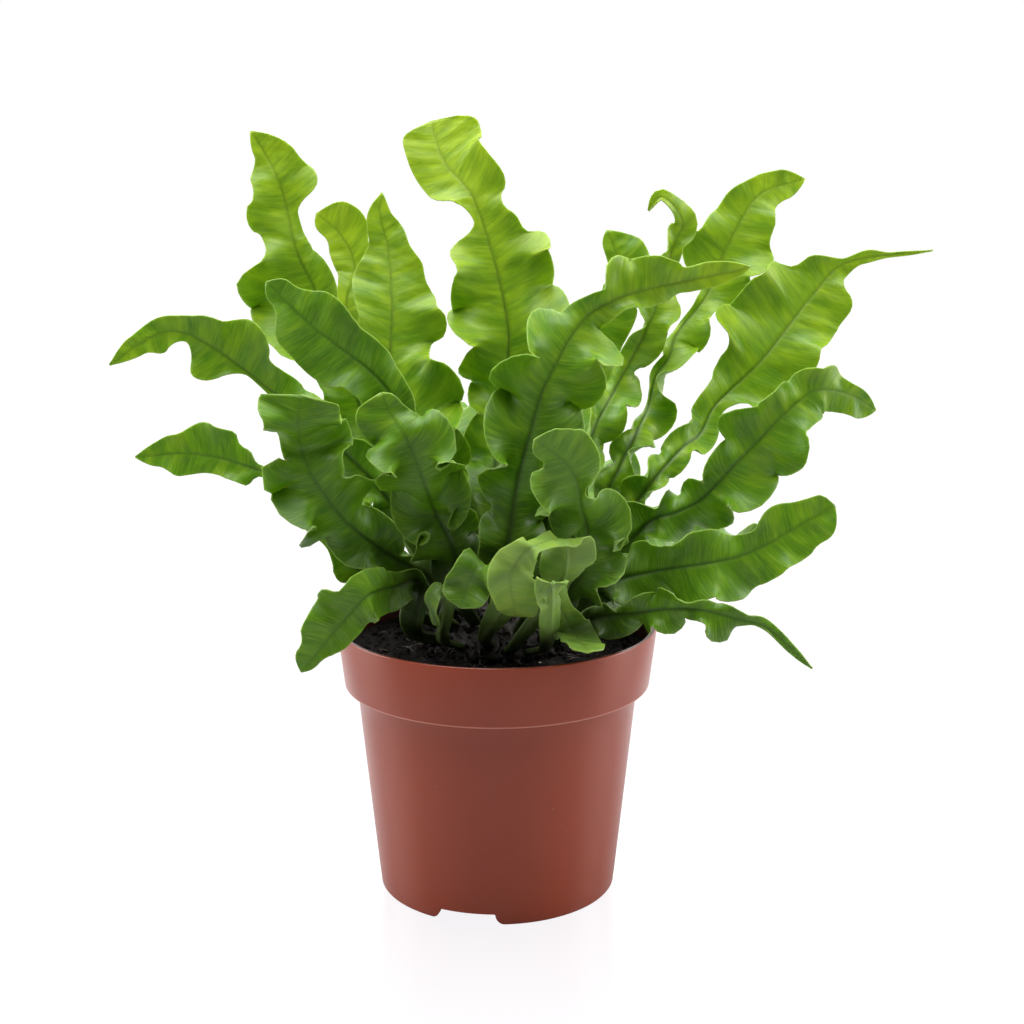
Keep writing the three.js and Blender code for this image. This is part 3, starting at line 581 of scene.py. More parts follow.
add_frond(
    "front_right_low", seat=(66, -60), face=-80, turn=(0, 20, -25, 0), curl=(20, 40, 20), blunt=6,
    level=True, tone=(0.45, 0.6), pale=0.7,
    path=[(19, -77, 136), (22, -53, 122), (27, -44, 110), (31, -67, 110)],
    left=((30, 55, 70, 86), (4, 5, 4, 8)),
    right=((30, 50, 68, 86), (4, 6, 5, 7)),
)
add_frond(
    "front_fold", seat=(63, -79), face=-90, curl=(20, 30, 50, 60, 45), blunt=4, level=True,
    tone=(0.5, 0.75), pale=0.9,
    path=[
        (21, -45, 125), (24, -59, 139), (23, -60, 147), (12, -71, 147), (7, -67, 141), (5, -66, 135),
        (7, -48, 117),
    ],
    left=((28, 50, 66, 82, 94), (3, 10, 4, 11, 8)),
    right=((28, 48, 64, 79, 93), (3, 9, 4, 8, 6)),
)
add_frond(
    "front_low", seat=(58, -97), face=-90, curl=(15, 15, 15, 10), blunt=4, level=True,
    tone=(0.25, 0.35), pale=0.2,
    path=[(4, -51, 126), (-2, -52, 136), (-7, -54, 135), (-10, -53, 128), (-12, -55, 122)],
    left=((45, 74, 92), (5, 10, 8)),
    right=((45, 70, 90), (5, 8, 8)),
)
add_frond(
    "front_left_curl", seat=(62, -125), face=-110, curl=(40, 90), blunt=4, level=True, tone=(0.3, 0.5),
    pale=0.5,
    path=[(-17, -44, 123), (-19, -42, 127), (-23, -45, 123), (-20, -43, 112)],
    left=((41, 62), (3, 4)),
    right=((83, 95), (2, 2)),
)
add_frond(
    "front_right_curl", seat=(48, -66), turn=(0, 0, 0, -20), curl=(60, 110, 110, 70, 20), blunt=4,
    tone=(0.25, 0.5), pale=0.15,
    path=[
        (29, -39, 128), (31, -41, 136), (32, -40, 145), (29, -53, 157), (27, -62, 168), (22, -66, 176),
        (13, -70, 183),
    ],
    left=((42, 61, 68, 85, 93), (10, 12, 16, 15, 5)),
    right=((44, 50, 56, 74, 87), (15, 15, 16, 2, 12)),
)
add_frond(
    "front_tall", seat=(35, -92), turn=(0, 0, 10), curl=(60, 120, 120, 80, 20), tone=(0.1, 0.85),
    path=[(4, -38, 140), (7, -38, 160), (12, -44, 182), (18, -46, 200), (35, -40, 223), (87, -32, 236)],
    left=((12, 24, 34, 46, 53, 62, 70, 76, 83, 91), (10, 11, 14, 17, 19, 16, 6, 14, 11, 5)),
    right=((21, 32, 46, 57, 66, 70, 82, 91), (14, 16, 18, 19, 20, 6, 6, 4)),
)
add_frond(
    "front_left_tall", seat=(40, -118), curl=(60, 120, 130, 110, 50), tone=(0.15, 0.5),
    path=[
        (-16, -29, 138), (-21, -29, 149), (-24, -38, 160), (-28, -42, 173), (-31, -45, 180),
        (-36, -41, 187), (-39, -40, 194),
    ],
    left=((35, 52, 69, 85, 94), (16, 15, 16, 15, 12)),
    right=((31, 42, 58, 68, 78, 96), (11, 13, 15, 16, 16, 5)),
)
add_frond(
    "left_low_drooping", seat=(62, -150), curl=(100, 60, 20), blunt=2, tone=(0.35, 0.5),
    path=[(-28, -16, 120), (-36, -30, 123), (-44, -50, 125), (-51, -50, 118), (-68, -48, 97)],
    left=((18, 62, 81, 94), (6, 10, 7, 3)),
    right=((38, 66, 72, 83, 94), (5, 9, 13, 11, 6)),
)
add_frond(
    "left_front_broad", seat=(48, -142), turn=(0, 0, 10, 10, 0), curl=(40, 110, 120, 90, 30), blunt=9,
    tone=(0.2, 0.45),
    path=[
        (-24, -10, 119), (-35, -18, 129), (-53, -31, 147), (-64, -39, 166), (-67, -37, 174),
        (-67, -45, 184), (-66, -45, 194),
    ],
    left=((33, 49, 59, 70, 77, 81, 91, 96), (12, 12, 18, 17, 17, 7, 12, 14)),
    right=((22, 32, 43, 62, 82, 96), (8, 4, 11, 18, 18, 14)),
)
add_frond(
    "right_lowest", seat=(62, -35), turn=(0, 0, 0, 20), curl=(80, 115, 80, 20), blunt=1.8,
    tone=(0.25, 0.45),
    path=[
        (34, -26, 110), (52, -42, 117), (66, -48, 120), (82, -49, 117), (95, -46, 112), (111, -44, 97),
    ],
    left=((29, 41, 49, 60, 68, 76, 86), (5, 7, 8, 4, 4, 3, 2)),
    right=((30, 41, 50, 58, 66, 76, 90), (9, 8, 9, 4, 10, 1, 2)),
)
add_frond(
    "right_low", seat=(56, -20), turn=(-15, -10), curl=(80, 90, 45, 12), blunt=3, tone=(0.3, 0.55),
    path=[(38, -16, 119), (58, -30, 129), (73, -33, 132), (89, -33, 136), (119, -32, 153)],
    left=((41, 59, 74, 83, 95), (12, 12, 7, 11, 7)),
    right=((36, 56, 64, 76, 84, 92), (11, 13, 15, 12, 11, 9)),
)
add_frond(
    "left_middle_dark", seat=(38, -160), turn=(0, 15), curl=(60, 40, 20), tone=(0.35, 0.45),
    path=[(-21, -3, 134), (-31, -14, 170), (-39, -20, 193), (-65, -30, 217), (-78, -34, 231)],
    left=((65, 78, 89, 96), (10, 14, 12, 4)),
    right=((59, 72, 86, 96), (7, 10, 13, 6)),
)
add_frond(
    "left_far_low", seat=(54, 182), turn=(0, 10), curl=(50, 50, 30, 8), blunt=1.3, tone=(0.4, 0.55),
    path=[
        (-36, -2, 126), (-57, -16, 146), (-71, -13, 155), (-85, -14, 162), (-108, -14, 168),
        (-130, -14, 167),
    ],
    left=((47, 67, 71, 79, 89, 95), (8, 2, 7, 6, 8, 4)),
    right=((57, 68, 73, 78, 83, 90), (1, 2, 6, 11, 12, 7)),
)
add_frond(
    "left_short", seat=(62, 160), curl=(45, 45, 20), tone=(0.4, 0.5),
    path=[(-29, 1, 110), (-37, 12, 108), (-49, 1, 118), (-72, -10, 149)],
    left=((67, 80, 93), (8, 3, 5)),
    right=((58, 74), (10, 10)),
)
add_frond(
    "right_broad", seat=(42, -8), turn=(-10, -10), curl=(90, 125, 110, 60, 20), tone=(0.3, 0.6),
    path=[
        (29, -9, 120), (49, -12, 136), (57, -17, 145), (65, -16, 147), (74, -16, 152), (88, -22, 169),
        (111, -20, 191), (125, -14, 190), (137, -8, 183),
    ],
    left=((35, 40, 49, 57, 65, 77, 82, 86, 92), (11, 9, 9, 9, 16, 9, 9, 9, 4)),
    right=((40, 49, 58, 69, 78, 94), (10, 14, 17, 18, 10, 7)),
)
add_frond(
    "left_far_high", seat=(38, 175), curl=(60, 95, 85, 20, 6), blunt=1.3, tone=(0.45, 0.65),
    path=[(-33, 6, 136), (-54, 4, 163), (-88, 6, 192), (-111, 2, 209), (-122, 0, 210), (-140, -4, 199)],
    left=((43, 60, 67, 76, 82, 89, 93), (11, 2, 1, 13, 3, 7, 4)),
    right=((48, 62, 72, 79, 85, 94), (10, 9, 17, 10, 6, 4)),
)
add_frond(
    "right_long", seat=(45, 15), turn=(0, -15, -15, 0), curl=(80, 150, 45, 25, 8), tone=(0.45, 0.8),
    path=[
        (33, -2, 118), (47, -2, 141), (57, -1, 155), (69, 6, 167), (76, 12, 171), (81, 16, 180),
        (88, 18, 187), (99, 18, 198), (119, 26, 222), (131, 30, 233), (164, 30, 238),
    ],
    left=((29, 35, 41, 51, 58, 64, 70, 76, 80, 85, 89, 93), (9, 7, 7, 7, 12, 25, 22, 20, 11, 2, 3, 1)),
    right=((33, 37, 44, 51, 58, 66, 71, 78, 83, 88, 93), (5, 6, 7, 4, 16, 18, 16, 15, 5, 2, 1)),
)
add_frond(
    "right_edge_on", seat=(22, 30), turn=(0, 20), curl=(70, 110, 120, 90, 50), tone=(0.4, 0.8),
    path=[
        (24, 4, 124), (30, -1, 158), (37, 5, 176), (45, 15, 189), (58, 20, 214), (66, 26, 240),
        (69, 26, 249), (61, 22, 258), (56, 22, 253),
    ],
    left=((32, 47, 63, 70, 80, 86, 92), (7, 6, 5, 7, 5, 5, 2)),
    right=((53, 63, 72, 81, 89, 96), (11, 9, 10, 4, 6, 3)),
)
add_frond(
    "right_tall", seat=(34, 45), turn=(0, -30, -10), curl=(75, 130, 130, 40, 8), blunt=1.4,
    tone=(0.45, 0.8),
    path=[
        (28, 10, 115), (39, 9, 144), (49, 12, 165), (58, 32, 178), (61, 33, 190), (66, 35, 197),
        (69, 39, 205), (81, 44, 220), (85, 47, 230), (91, 47, 243), (101, 50, 258), (119, 54, 264),
    ],
    left=((36, 44, 55, 60, 66, 71, 78, 83, 88, 92, 96), (7, 3, 3, 4, 2, 3, 16, 12, 10, 7, 6)),
    right=((39, 49, 59, 65, 70, 74, 81, 86, 96), (9, 12, 10, 12, 7, 15, 19, 13, 6)),
)
add_frond(
    "centre_hidden", seat=(15, 80), curl=(70, 90, 70), tone=(0.45, 0.7),
    path=[(9, 20, 113), (22, 7, 151), (30, 28, 181), (38, 32, 208), (47, 38, 228), (42, 42, 245)],
    left=((59, 75, 96), (13, 8, 4)),
    right=((64, 80, 92), (16, 12, 12)),
)
add_frond(
    "left_centre_tall", seat=(20, 130), turn=(0, 10), curl=(70, 100, 60, 20, 6), blunt=1.4,
    tone=(0.4, 0.82),
    path=[
        (-13, 6, 120), (-31, 20, 177), (-40, 26, 196), (-40, 31, 215), (-42, 40, 239), (-45, 42, 250),
        (-44, 44, 259),
    ],
    left=((41, 55, 66, 78, 92), (11, 12, 13, 15, 6)),
    right=((45, 50, 63, 70, 74, 81, 89), (18, 21, 15, 21, 17, 13, 8)),
)
add_frond(
    "centre_tallest", seat=(30, 95), turn=(0, 0, 10, 0), curl=(60, 90, 75, 25, 4), blunt=5,
    tone=(0.35, 0.98),
    path=[
        (-1, 26, 119), (-1, 31, 150), (2, 42, 179), (4, 43, 208), (-9, 50, 256), (-21, 58, 271),
        (-26, 64, 286),
    ],
    left=((33, 41, 47, 58, 64, 72, 77, 88, 95), (14, 14, 19, 23, 20, 16, 3, 13, 13)),
    right=((33, 45, 58, 66, 70, 74, 79, 83, 95), (24, 26, 25, 22, 23, 14, 10, 15, 18)),
)
add_frond(
    "left_narrow", seat=(32, 152), curl=(60, 60, 40, 8), blunt=3, tone=(0.5, 0.95),
    path=[
        (-18, 21, 120), (-30, 23, 151), (-43, 32, 181), (-57, 38, 207), (-58, 40, 218), (-55, 45, 230),
        (-60, 48, 242), (-70, 50, 251),
    ],
    left=((55, 73, 88, 96), (9, 3, 8, 5)),
    right=((49, 68, 88, 93), (12, 9, 8, 12)),
)
add_frond(
    "left_tall", seat=(47, 138), turn=(0, 10), curl=(75, 95, 90, 45, 5), blunt=1.5, tone=(0.35, 0.85),
    path=[
        (-26, 18, 113), (-38, 33, 141), (-52, 44, 171), (-71, 49, 221), (-78, 48, 237), (-82, 52, 254),
        (-85, 52, 264), (-89, 54, 272), (-95, 54, 282),
    ],
    left=((44, 66, 74, 78, 84, 91, 96), (13, 27, 27, 11, 16, 10, 4)),
    right=((46, 60, 69, 83, 88, 93), (13, 10, 9, 4, 15, 11)),
)

# the guessed leaves at the back are plain and even, and arch away from the viewer
BACK_LOBES = ((24, 41, 58, 76, 93), (15, 33, 50, 67, 84))
BACK_CURL = (75,)
for name, seat, face, breadth, tone, path in (
    ("right_side", (62, 14), 20, 13, (0.35, 0.5), [(52, 26, 112), (90, 42, 124), (122, 54, 114)]),
    ("right_low", (60, 40), 42, 14, (0.3, 0.5), [(46, 46, 106), (74, 76, 112), (98, 104, 102)]),
    ("left_low", (62, 140), 138, 12, (0.35, 0.5), [(-44, 44, 112), (-62, 68, 126), (-76, 90, 128)]),
    ("centre", (44, 100), 97, 15, (0.4, 0.6), [(-10, 34, 134), (-18, 62, 166), (-22, 94, 172)]),
    ("right", (48, 62), 64, 15, (0.35, 0.55), [(26, 48, 124), (40, 80, 146), (52, 112, 138)]),
    ("left", (54, 118), 115, 15, (0.35, 0.5), [(-24, 48, 116), (-38, 82, 136), (-50, 116, 128)]),
    ("centre_right", (60, 80), 84, 14, (0.3, 0.5), [(14, 56, 106), (22, 90, 116), (28, 122, 104)]),
):
    left, right = [(places, (breadth,) * len(places)) for places in BACK_LOBES]
    add_frond(
        "back_" + name, seat=seat, face=face, curl=BACK_CURL, level=True, tone=tone,
        path=path, left=left, right=right,
    )


def smooth_step(start, end, values):
    t = np.clip((values - start) / (end - start), 0, 1)
    return t * t * (3 - 2 * t)


def mixed(ends, step):
    return ends[0] + (ends[1] - ends[0]) * step


def unit(vectors):
    return vectors / np.linalg.norm(vectors, axis=-1, keepdims=True)


def smooth_curve(points, along):
    """Points on a smooth curve that runs from 0 to 1 by the length of its chords."""
    points = np.asarray(points, float)
    chords = np.linalg.norm(np.diff(points, axis=0), axis=1)
    knots = np.concatenate([[0], np.cumsum(chords)]) / chords.sum()
    slopes = np.empty_like(points)
    slopes[1:-1] = (points[2:] - points[:-2]) / (knots[2:] - knots[:-2])[:, None]
    slopes[0] = (points[1] - points[0]) / (knots[1] - knots[0])
    slopes[-1] = (points[-1] - points[-2]) / (knots[-1] - knots[-2])
    i = np.clip(np.searchsorted(knots, along, side="right") - 1, 0, len(points) - 2)
    span = (knots[i + 1] - knots[i])[:, None]
    t = (along - knots[i])[:, None] / span
    return (
        (2 * t**3 - 3 * t**2 + 1) * points[i]
        + (t**3 - 2 * t**2 + t) * span * slopes[i]
        + (-2 * t**3 + 3 * t**2) * points[i + 1]
        + (t**3 - t**2) * span * slopes[i + 1]
    )


def even_steps(values, along):
    """Values given at even steps along the frond, joined smoothly."""
    values = np.asarray(values, float)
    if len(values) == 1:
        return np.full(len(along), values[0])
    place = along * (len(values) - 1)
    i = np.minimum(place.astype(int), len(values) - 2)
    return mixed((values[i], values[i + 1]), smooth_step(0, 1, place - i))


def half_width(places, widths, blunt, along):
    """Half the blade's width on one side, from the stalk over each lobe to the tip."""
    places = np.concatenate([[0, STALK_END], places])
    widths = np.concatenate([[STALK_HALF_WIDTH, STALK_HALF_WIDTH], widths])
    i = np.clip(np.searchsorted(places, along, side="right") - 1, 0, len(places) - 2)
    width = mixed((widths[i], widths[i + 1]), smooth_step(places[i], places[i + 1], along))
    past_last = np.clip((along - places[-1]) / (1 - places[-1]), 0, 1)
    return np.maximum(width * (1 - past_last**blunt) ** TIP_FULLNESS, TIP_HALF_WIDTH)


def wave_phase(places, along):
    """The margin's wave crosses the blade's own plane at each lobe."""
    last = len(places) - 1
    pitch = (places[-1] - places[0]) / last
    phase = np.interp(along, places, np.arange(last + 1))
    phase = np.where(along < places[0], (along - places[0]) / pitch, phase)
    return np.pi * np.where(along > places[-1], last + (along - places[-1]) / pitch, phase)


def blade_surface(frond, along, across):
    """The blade's middle surface as rows of points, and the distance of each from the midrib."""
    tilt, azimuth = np.radians(frond.seat)
    level_part = math.sin(tilt)
    away = np.array([
        level_part * math.cos(azimuth), level_part * math.sin(azimuth), math.cos(tilt),
    ])
    base = CROWN_CENTRE + away * (CROWN_RADIUS + SEAT_GAP)
    route = [base, base + away * STALK_STRAIGHT] + frond.path
    centre = smooth_curve(route, along)
    after = smooth_curve(route, np.clip(along + NUDGE, 0, 1))
    before = smooth_curve(route, np.clip(along - NUDGE, 0, 1))
    ahead = unit(after - before)
    facing = math.radians(frond.face)
    if frond.level:
        flat = np.tile([-math.sin(facing), math.cos(facing), 0.0], (len(along), 1))
    else:
        flat = np.cross(ahead, [math.cos(facing), math.sin(facing), 0])
    flat = unit(flat - (ahead * flat).sum(axis=1)[:, None] * ahead)
    square = np.cross(ahead, flat)
    roll = np.radians(even_steps(frond.turn, along))[:, None]
    sideways = flat * np.cos(roll) + square * np.sin(roll)
    upper = square * np.cos(roll) - flat * np.sin(roll)
    waving = smooth_step(WAVE_START, WAVE_FULL, along)
    waving = waving * (1 - TIP_CALM * smooth_step(WAVE_FADE, 1, along))
    curl = np.radians(even_steps(frond.curl, along)) * waving
    rows = np.zeros((len(along), len(across), 3))
    from_rib = np.zeros((len(along), len(across)))
    for column, place in enumerate(across):
        side = 1 if place >= 0 else -1
        places, widths = frond.left if side > 0 else frond.right
        places = np.array(places) / 100
        reach = half_width(places, widths, frond.blunt, along) * abs(place)
        phase = wave_phase(places, along)
        bend = (CUP + curl * np.sin(phase) * side) * abs(place)
        bending = np.abs(bend) > NEARLY_FLAT
        bent = np.where(bending, bend, 1)
        outward = np.where(bending, np.sin(bent) / bent, 1)
        lifted = np.where(bending, (1 - np.cos(bent)) / bent, bend / 2)
        bulge = LOBE_BULGE * abs(place) * curl * np.sin(2 * phase)
        rows[:, column] = (
            centre
            + sideways * (side * reach * outward)[:, None]
            + upper * (reach * lifted)[:, None]
            + ahead * (reach * bulge)[:, None]
        )
        from_rib[:, column] = side * reach
    return rows, from_rib


def near_pairs(fronds):
    """How much clearance each two spots of different fronds lack, where they pass closely."""
    along = np.linspace(0, 1, SETTLE_STATIONS + 1)
    across = np.linspace(-1, 1, SETTLE_COLUMNS + 1)
    cells = {}
    for index, frond in enumerate(fronds):
        rows, _ = blade_surface(frond, along, across)
        for station, row in enumerate(rows):
            for x, y, z in row:
                cell = (int(x // REACH), int(z // REACH))
                cells.setdefault(cell, []).append((index, station, x, y, z))
    lacks = {}
    for (column, level), here in cells.items():
        near = []
        for dx in (-1, 0, 1):
            for dz in (-1, 0, 1):
                near += cells.get((column + dx, level + dz), [])
        for front, station, x, y, z in here:
            for back, other, x2, y2, z2 in near:
                if back <= front or (x - x2) ** 2 + (z - z2) ** 2 > REACH * REACH:
                    continue
                lack = CLEARANCE - (y2 - y)
                pair = (front, station, back, other)
                if lack > lacks.get(pair, LOOSEST):
                    lacks[pair] = lack
    return sorted(lacks.items())


def settle(fronds):
    """How far each frond is drawn forward or back along its length, so that none crosses another."""
    steps = np.arange(SETTLE_STATIONS + 1)
    free = np.minimum(1, steps / SETTLE_STATIONS / SETTLE_FIXED)
    spread = [np.exp(-((steps - at) / SETTLE_SPREAD) ** 2) * free for at in steps]
    shifts = np.zeros((len(fronds), SETTLE_STATIONS + 1))
    pairs = near_pairs(fronds)
    for _ in range(SETTLE_ROUNDS):
        worst = 0
        for (front, station, back, other), lack in pairs:
            over = lack - (shifts[back, other] - shifts[front, station])
            total = free[station] ** 2 + free[other] ** 2
            if over <= SETTLED / 2 or total < SETTLED:
                continue
            shifts[front] -= spread[station] * (over * free[station] / total)
            shifts[back] += spread[other] * (over * free[other] / total)
            worst = max(worst, over)
        if worst < 2 * SETTLED:
            break
    return shifts


def held_below(values, most):
    """Values that slow down towards a limit, and stay below it."""
    over = np.maximum(values - most + DEPTH_EASE, 0)
    return values - over + DEPTH_EASE * (1 - np.exp(-over / DEPTH_EASE))


def leaf_relief(chance, vein_place, tone, side, reach):
    """Fine pleats that follow the side veins, and folds that fade in towards the margin."""
    pleats = np.zeros_like(vein_place)
    for pitch in PLEAT_LENGTHS:
        start = chance.uniform(0, 2 * math.pi)
        drift = np.sin(vein_place / (pitch * PLEAT_DRIFT_LENGTH) + chance.uniform(0, 6))
        swell = np.sin(2 * math.pi * vein_place / pitch + start + PLEAT_DRIFT * drift)
        pleats += swell * pitch / PLEAT_LENGTHS[0]
    folds = np.zeros_like(vein_place)
    for pitch in FOLD_LENGTHS:
        drift = np.sin(vein_place / (pitch * FOLD_DRIFT_LENGTH) + chance.uniform(0, 6))
        start = chance.uniform(0, 6)
        swell = np.sin(2 * math.pi * vein_place / pitch + start + FOLD_DRIFT * drift)
        folds += swell * pitch / FOLD_LENGTHS[0]
    relief = pleats * PLEAT_DEPTH * smooth_step(0, PLEAT_START, side)
    relief += folds * mixed(FOLD_DEPTH, np.clip(tone, 0, 1)) * smooth_step(*FOLD_START, side)
    return relief * smooth_step(*RELIEF_REACH, reach)


def leaf_faces(tall, wide):
    """The faces of a leaf's upper side, its under side and the narrow margin between them."""
    below = tall * wide
    grid = np.arange(below).reshape(tall, wide)
    a, b, c, d = grid[:-1, :-1], grid[1:, :-1], grid[1:, 1:], grid[:-1, 1:]
    faces = [
        np.stack([a, b, c, d], -1).reshape(-1, 4),
        np.stack([a, d, c, b], -1).reshape(-1, 4) + below,
    ]
    for edge, turned_round in (
        (grid[:, 0], False), (grid[:, -1], True), (grid[0], True), (grid[-1], False),
    ):
        p, q = (edge[1:], edge[:-1]) if turned_round else (edge[:-1], edge[1:])
        faces.append(np.stack([p, p + below, q + below, q], -1))
    return np.concatenate(faces).tolist()


def make_frond(index, frond, shifts):
    """A leaf with a channel along its upper side, a rib along its under side and fine pleats."""
    fine = np.linspace(0, 1, MEASURED_STATIONS)
    rib_line, _ = blade_surface(frond, fine, [0.0])
    steps = np.linalg.norm(np.diff(rib_line[:, 0], axis=0), axis=1)
    travelled = np.insert(steps.cumsum(), 0, 0.0)
    stations = int(round(travelled[-1] / STATION_SPACING))
    along = np.linspace(0, 1, stations + 1)
    across = np.array([-v for v in reversed(ACROSS_HALF[1:])] + list(ACROSS_HALF))
    rows, from_rib = blade_surface(frond, along, across)
    rows[:, :, 1] += np.interp(along, np.linspace(0, 1, SETTLE_STATIONS + 1), shifts)[:, None]
    # the leaf stays between the front and the back of the solids' box
    depth = -held_below(-rows[:, :, 1], -DEPTH_REACH[0])
    rows[:, :, 1] = held_below(depth, DEPTH_REACH[1])
    normals = unit(np.cross(np.gradient(rows, axis=0), np.gradient(rows, axis=1)))

    distance = np.interp(along, fine, travelled)[:, None]
    side = np.abs(across)[None, :]
    reach = np.abs(np.where(across > 0, from_rib[:, -1:], from_rib[:, :1]))
    vein_place = distance - VEIN_SLANT * np.abs(from_rib) + OTHER_SIDE * (from_rib < 0)
    full = smooth_step(*FORM_FULL, along)[:, None]
    tone = mixed(frond.tone, along[:, None])
    chance = np.random.default_rng(LEAF_SEED + index)
    relief = leaf_relief(chance, vein_place, tone, side, reach) * full

    # the midrib: a channel above, a ridge below, both fading towards the tip
    rib_width = mixed(RIB_HALF_WIDTH, smooth_step(*RIB_NARROWS, along))[:, None]
    rib = np.exp(-((from_rib / rib_width) ** 2))
    rib *= 1 - RIB_FADE * smooth_step(RIB_FADE_START, 1, along)[:, None]
    stalk = 1 - smooth_step(STALK_END, WAVE_FULL, along)[:, None]
    thinned = side**MARGIN_POWER
    thickness = mixed((BLADE_THICKNESS, STALK_THICKNESS), stalk) * np.sqrt(1 - thinned)
    thickness += MARGIN_THICKNESS * thinned
    upper = rows + normals * (thickness / 2 + relief - RIB_DEPTH * rib * full)[:, :, None]
    under = rows - normals * (thickness / 2 - relief + RIB_UNDER * rib * full)[:, :, None]
    points = np.concatenate([upper.reshape(-1, 3), under.reshape(-1, 3)])
    faces = leaf_faces(len(along), len(across))
    piece = mesh_object("leaf_" + frond.name, on_axis(points), faces, frond_green)

    mesh = piece.data
    corner_point = np.zeros(len(mesh.loops), int)
    mesh.loops.foreach_get("vertex_index", corner_point)
    vein_uv = np.stack([
        vein_place / VEIN_SCALE[0] + index * NEXT_LEAF, np.abs(from_rib) / VEIN_SCALE[1],
    ], -1)
    vein_uv = np.concatenate([vein_uv.reshape(-1, 2)] * 2)
    mesh.uv_layers.new(name="veins").data.foreach_set("uv", vein_uv[corner_point].ravel())
    # painted shade among the feet of the leaves near the crown, fading out towards the lit front
    from_crown = np.linalg.norm(rows - CROWN_CENTRE, axis=2)
    shaded = smooth_step(*FRONT_LIT, rows[:, :, 1])
    shaded = np.maximum(shaded, 1 - smooth_step(*NEAR_FEET, from_crown))
    painted_foot_shade = (1 - smooth_step(*FOOT_SHADE_REACH, from_crown)) * shaded
    margin = smooth_step(MARGIN_WIDTH, 0.0, reach * (1 - side)) * full
    broad = smooth_step(*RELIEF_REACH, reach)
    for name, above, beneath in (
        ("rib", rib, rib / 2),
        ("margin", margin, margin),
        ("tone", tone, tone),
        # the upper side of some front leaves gets a painted sheen; the under side its own paler colour
        ("pale", frond.pale, 1),
        ("painted_foot_shade", painted_foot_shade, painted_foot_shade),
        ("broad", broad, broad),
    ):
        values = [np.broadcast_to(value, from_rib.shape).ravel() for value in (above, beneath)]
        attribute = mesh.attributes.new(name, "FLOAT", "POINT")
        attribute.data.foreach_set("value", np.concatenate(values))
    finished(piece, "frond", "frond_" + frond.name)


def mark(tree, name, amount):
    """The amount of a colour or of relief where a leaf carries a mark."""
    marked = new_node(tree, "ShaderNodeAttribute", attribute_name=name)["Fac"]
    return combined(tree, "MULTIPLY", marked, amount)


def vein_noise(tree, lengthwise, outward, detail):
    """Noise drawn out along the side veins, by its fineness along the leaf and outwards."""
    veins = new_node(tree, "ShaderNodeUVMap", uv_map="veins")[0]
    values = {"Vector": veins, "Scale": (lengthwise, outward, 1)}
    squeezed = new_node(tree, "ShaderNodeMapping", values)
    return noise_at(tree, squeezed[0], 1.0, detail)


# leaf tissue: green that lets light through, streaked along the side veins, dark along the rib,
# darkened among the feet of the leaves as painted shade, pale at the very edge and on the under
# side, and paler on the upper side of some front leaves as painted sheen
frond_green, tree, shader = new_material("fern_leaf")
patches = vein_noise(tree, lengthwise=9, outward=0.9, detail=2)
streaks = vein_noise(tree, lengthwise=34, outward=1.2, detail=3)
fine_streaks = vein_noise(tree, lengthwise=140, outward=1.4, detail=2)
patchy = remapped(tree, patches, *TONE_PATCHES)
tone = combined(tree, "ADD", mark(tree, "tone", 1), patchy)
greens = tree.nodes.new("ShaderNodeValToRGB")
fill(tree, greens, {"Fac": tone})
ramp = greens.color_ramp.elements
ramp[0].color = LEAF_MATURE
ramp[1].color = LEAF_YOUNG
ramp.new(0.5).color = LEAF_GROWN
green = greens.outputs["Color"]
for name, amount, colour in (
    ("broad", remapped(tree, streaks, *STREAK_COVER), linear(48, 92, 2)),
    ("broad", remapped(tree, fine_streaks, *FINE_STREAK_COVER), linear(140, 172, 44)),
    ("rib", 0.7, linear(36, 62, 6)),
    ("margin", 0.3, linear(160, 182, 90)),
    # painted sheen on the upper side of some front leaves, and the under side's own paler colour
    ("pale", 0.45, linear(140, 166, 98)),
    # painted shade on the feet of the leaves
    ("painted_foot_shade", 0.86, linear(34, 40, 14)),
):
    green = blended(tree, mark(tree, name, amount), green, colour)
vein_height = combined(tree, "ADD", fine_streaks, streaks)
fill(tree, shader, {
    "Base Color": green,
    "Roughness": remapped(tree, streaks, *LEAF_SHEEN),
    "Specular IOR Level": 0.32,
    "Subsurface Weight": 0.35,
    "Subsurface Radius": (0.8, 1.0, 0.1),
    "Subsurface Scale": 2 * MM,
    "Normal": bumped(tree, vein_height, mark(tree, "broad", VEIN_BUMP[0]), VEIN_BUMP[1]),
})

for index, (frond, shifts) in enumerate(zip(FRONDS, settle(FRONDS))):
    make_frond(index, frond, shifts)


# The pot is filled with dark moist peat almost to its rim. The soil is lumpy, with loose crumbs,
# a few pale grains and thin root fibres lying on it.
SOIL_TOP = 93.5
SOIL_GAP = 0.3
SOIL_RINGS = 46
SOIL_SIDES = 160
SOIL_SINK = 1.4
SOIL_EDGE = 0.6
SOIL_CORNER = (0.4, 3.0)
LUMP_HEIGHT = 1.6
LUMPED_DEPTH = 2.0
SCATTER_DEPTH = 4.0
LUMPS = ((0.16, 1.0, (0, 0, 0)), (0.45, 0.6, (9, 2, 5)), (1.1, 0.35, (0, 0, 0)))
LUMPS_FROM_WALL = (0.5, 5.0)
PEAT_COLOURS = (linear(11, 10, 11), linear(34, 29, 27))
PALE_GRAIN_COLOURS = (linear(120, 112, 100), linear(214, 208, 196))
FIBRE_COLOURS = (linear(40, 32, 24), linear(122, 112, 94))
CRUMB_RADIUS = 1.0 * MM
CRUMB_ROUGHNESS = 1.1 * MM
CRUMB_ROUGH_SCALE = 900
NOISE_MIDDLE = (0.5, 0.5, 0.5)
CRUMB_LEAST = (0.6, 0.5, 0.4)
CRUMB_MOST = (1.2, 1.0, 0.8)
FEW_LARGE = 2.5
CRUMBS_FROM_WALL = 2.5
FIBRES_FROM_WALL = 9.0
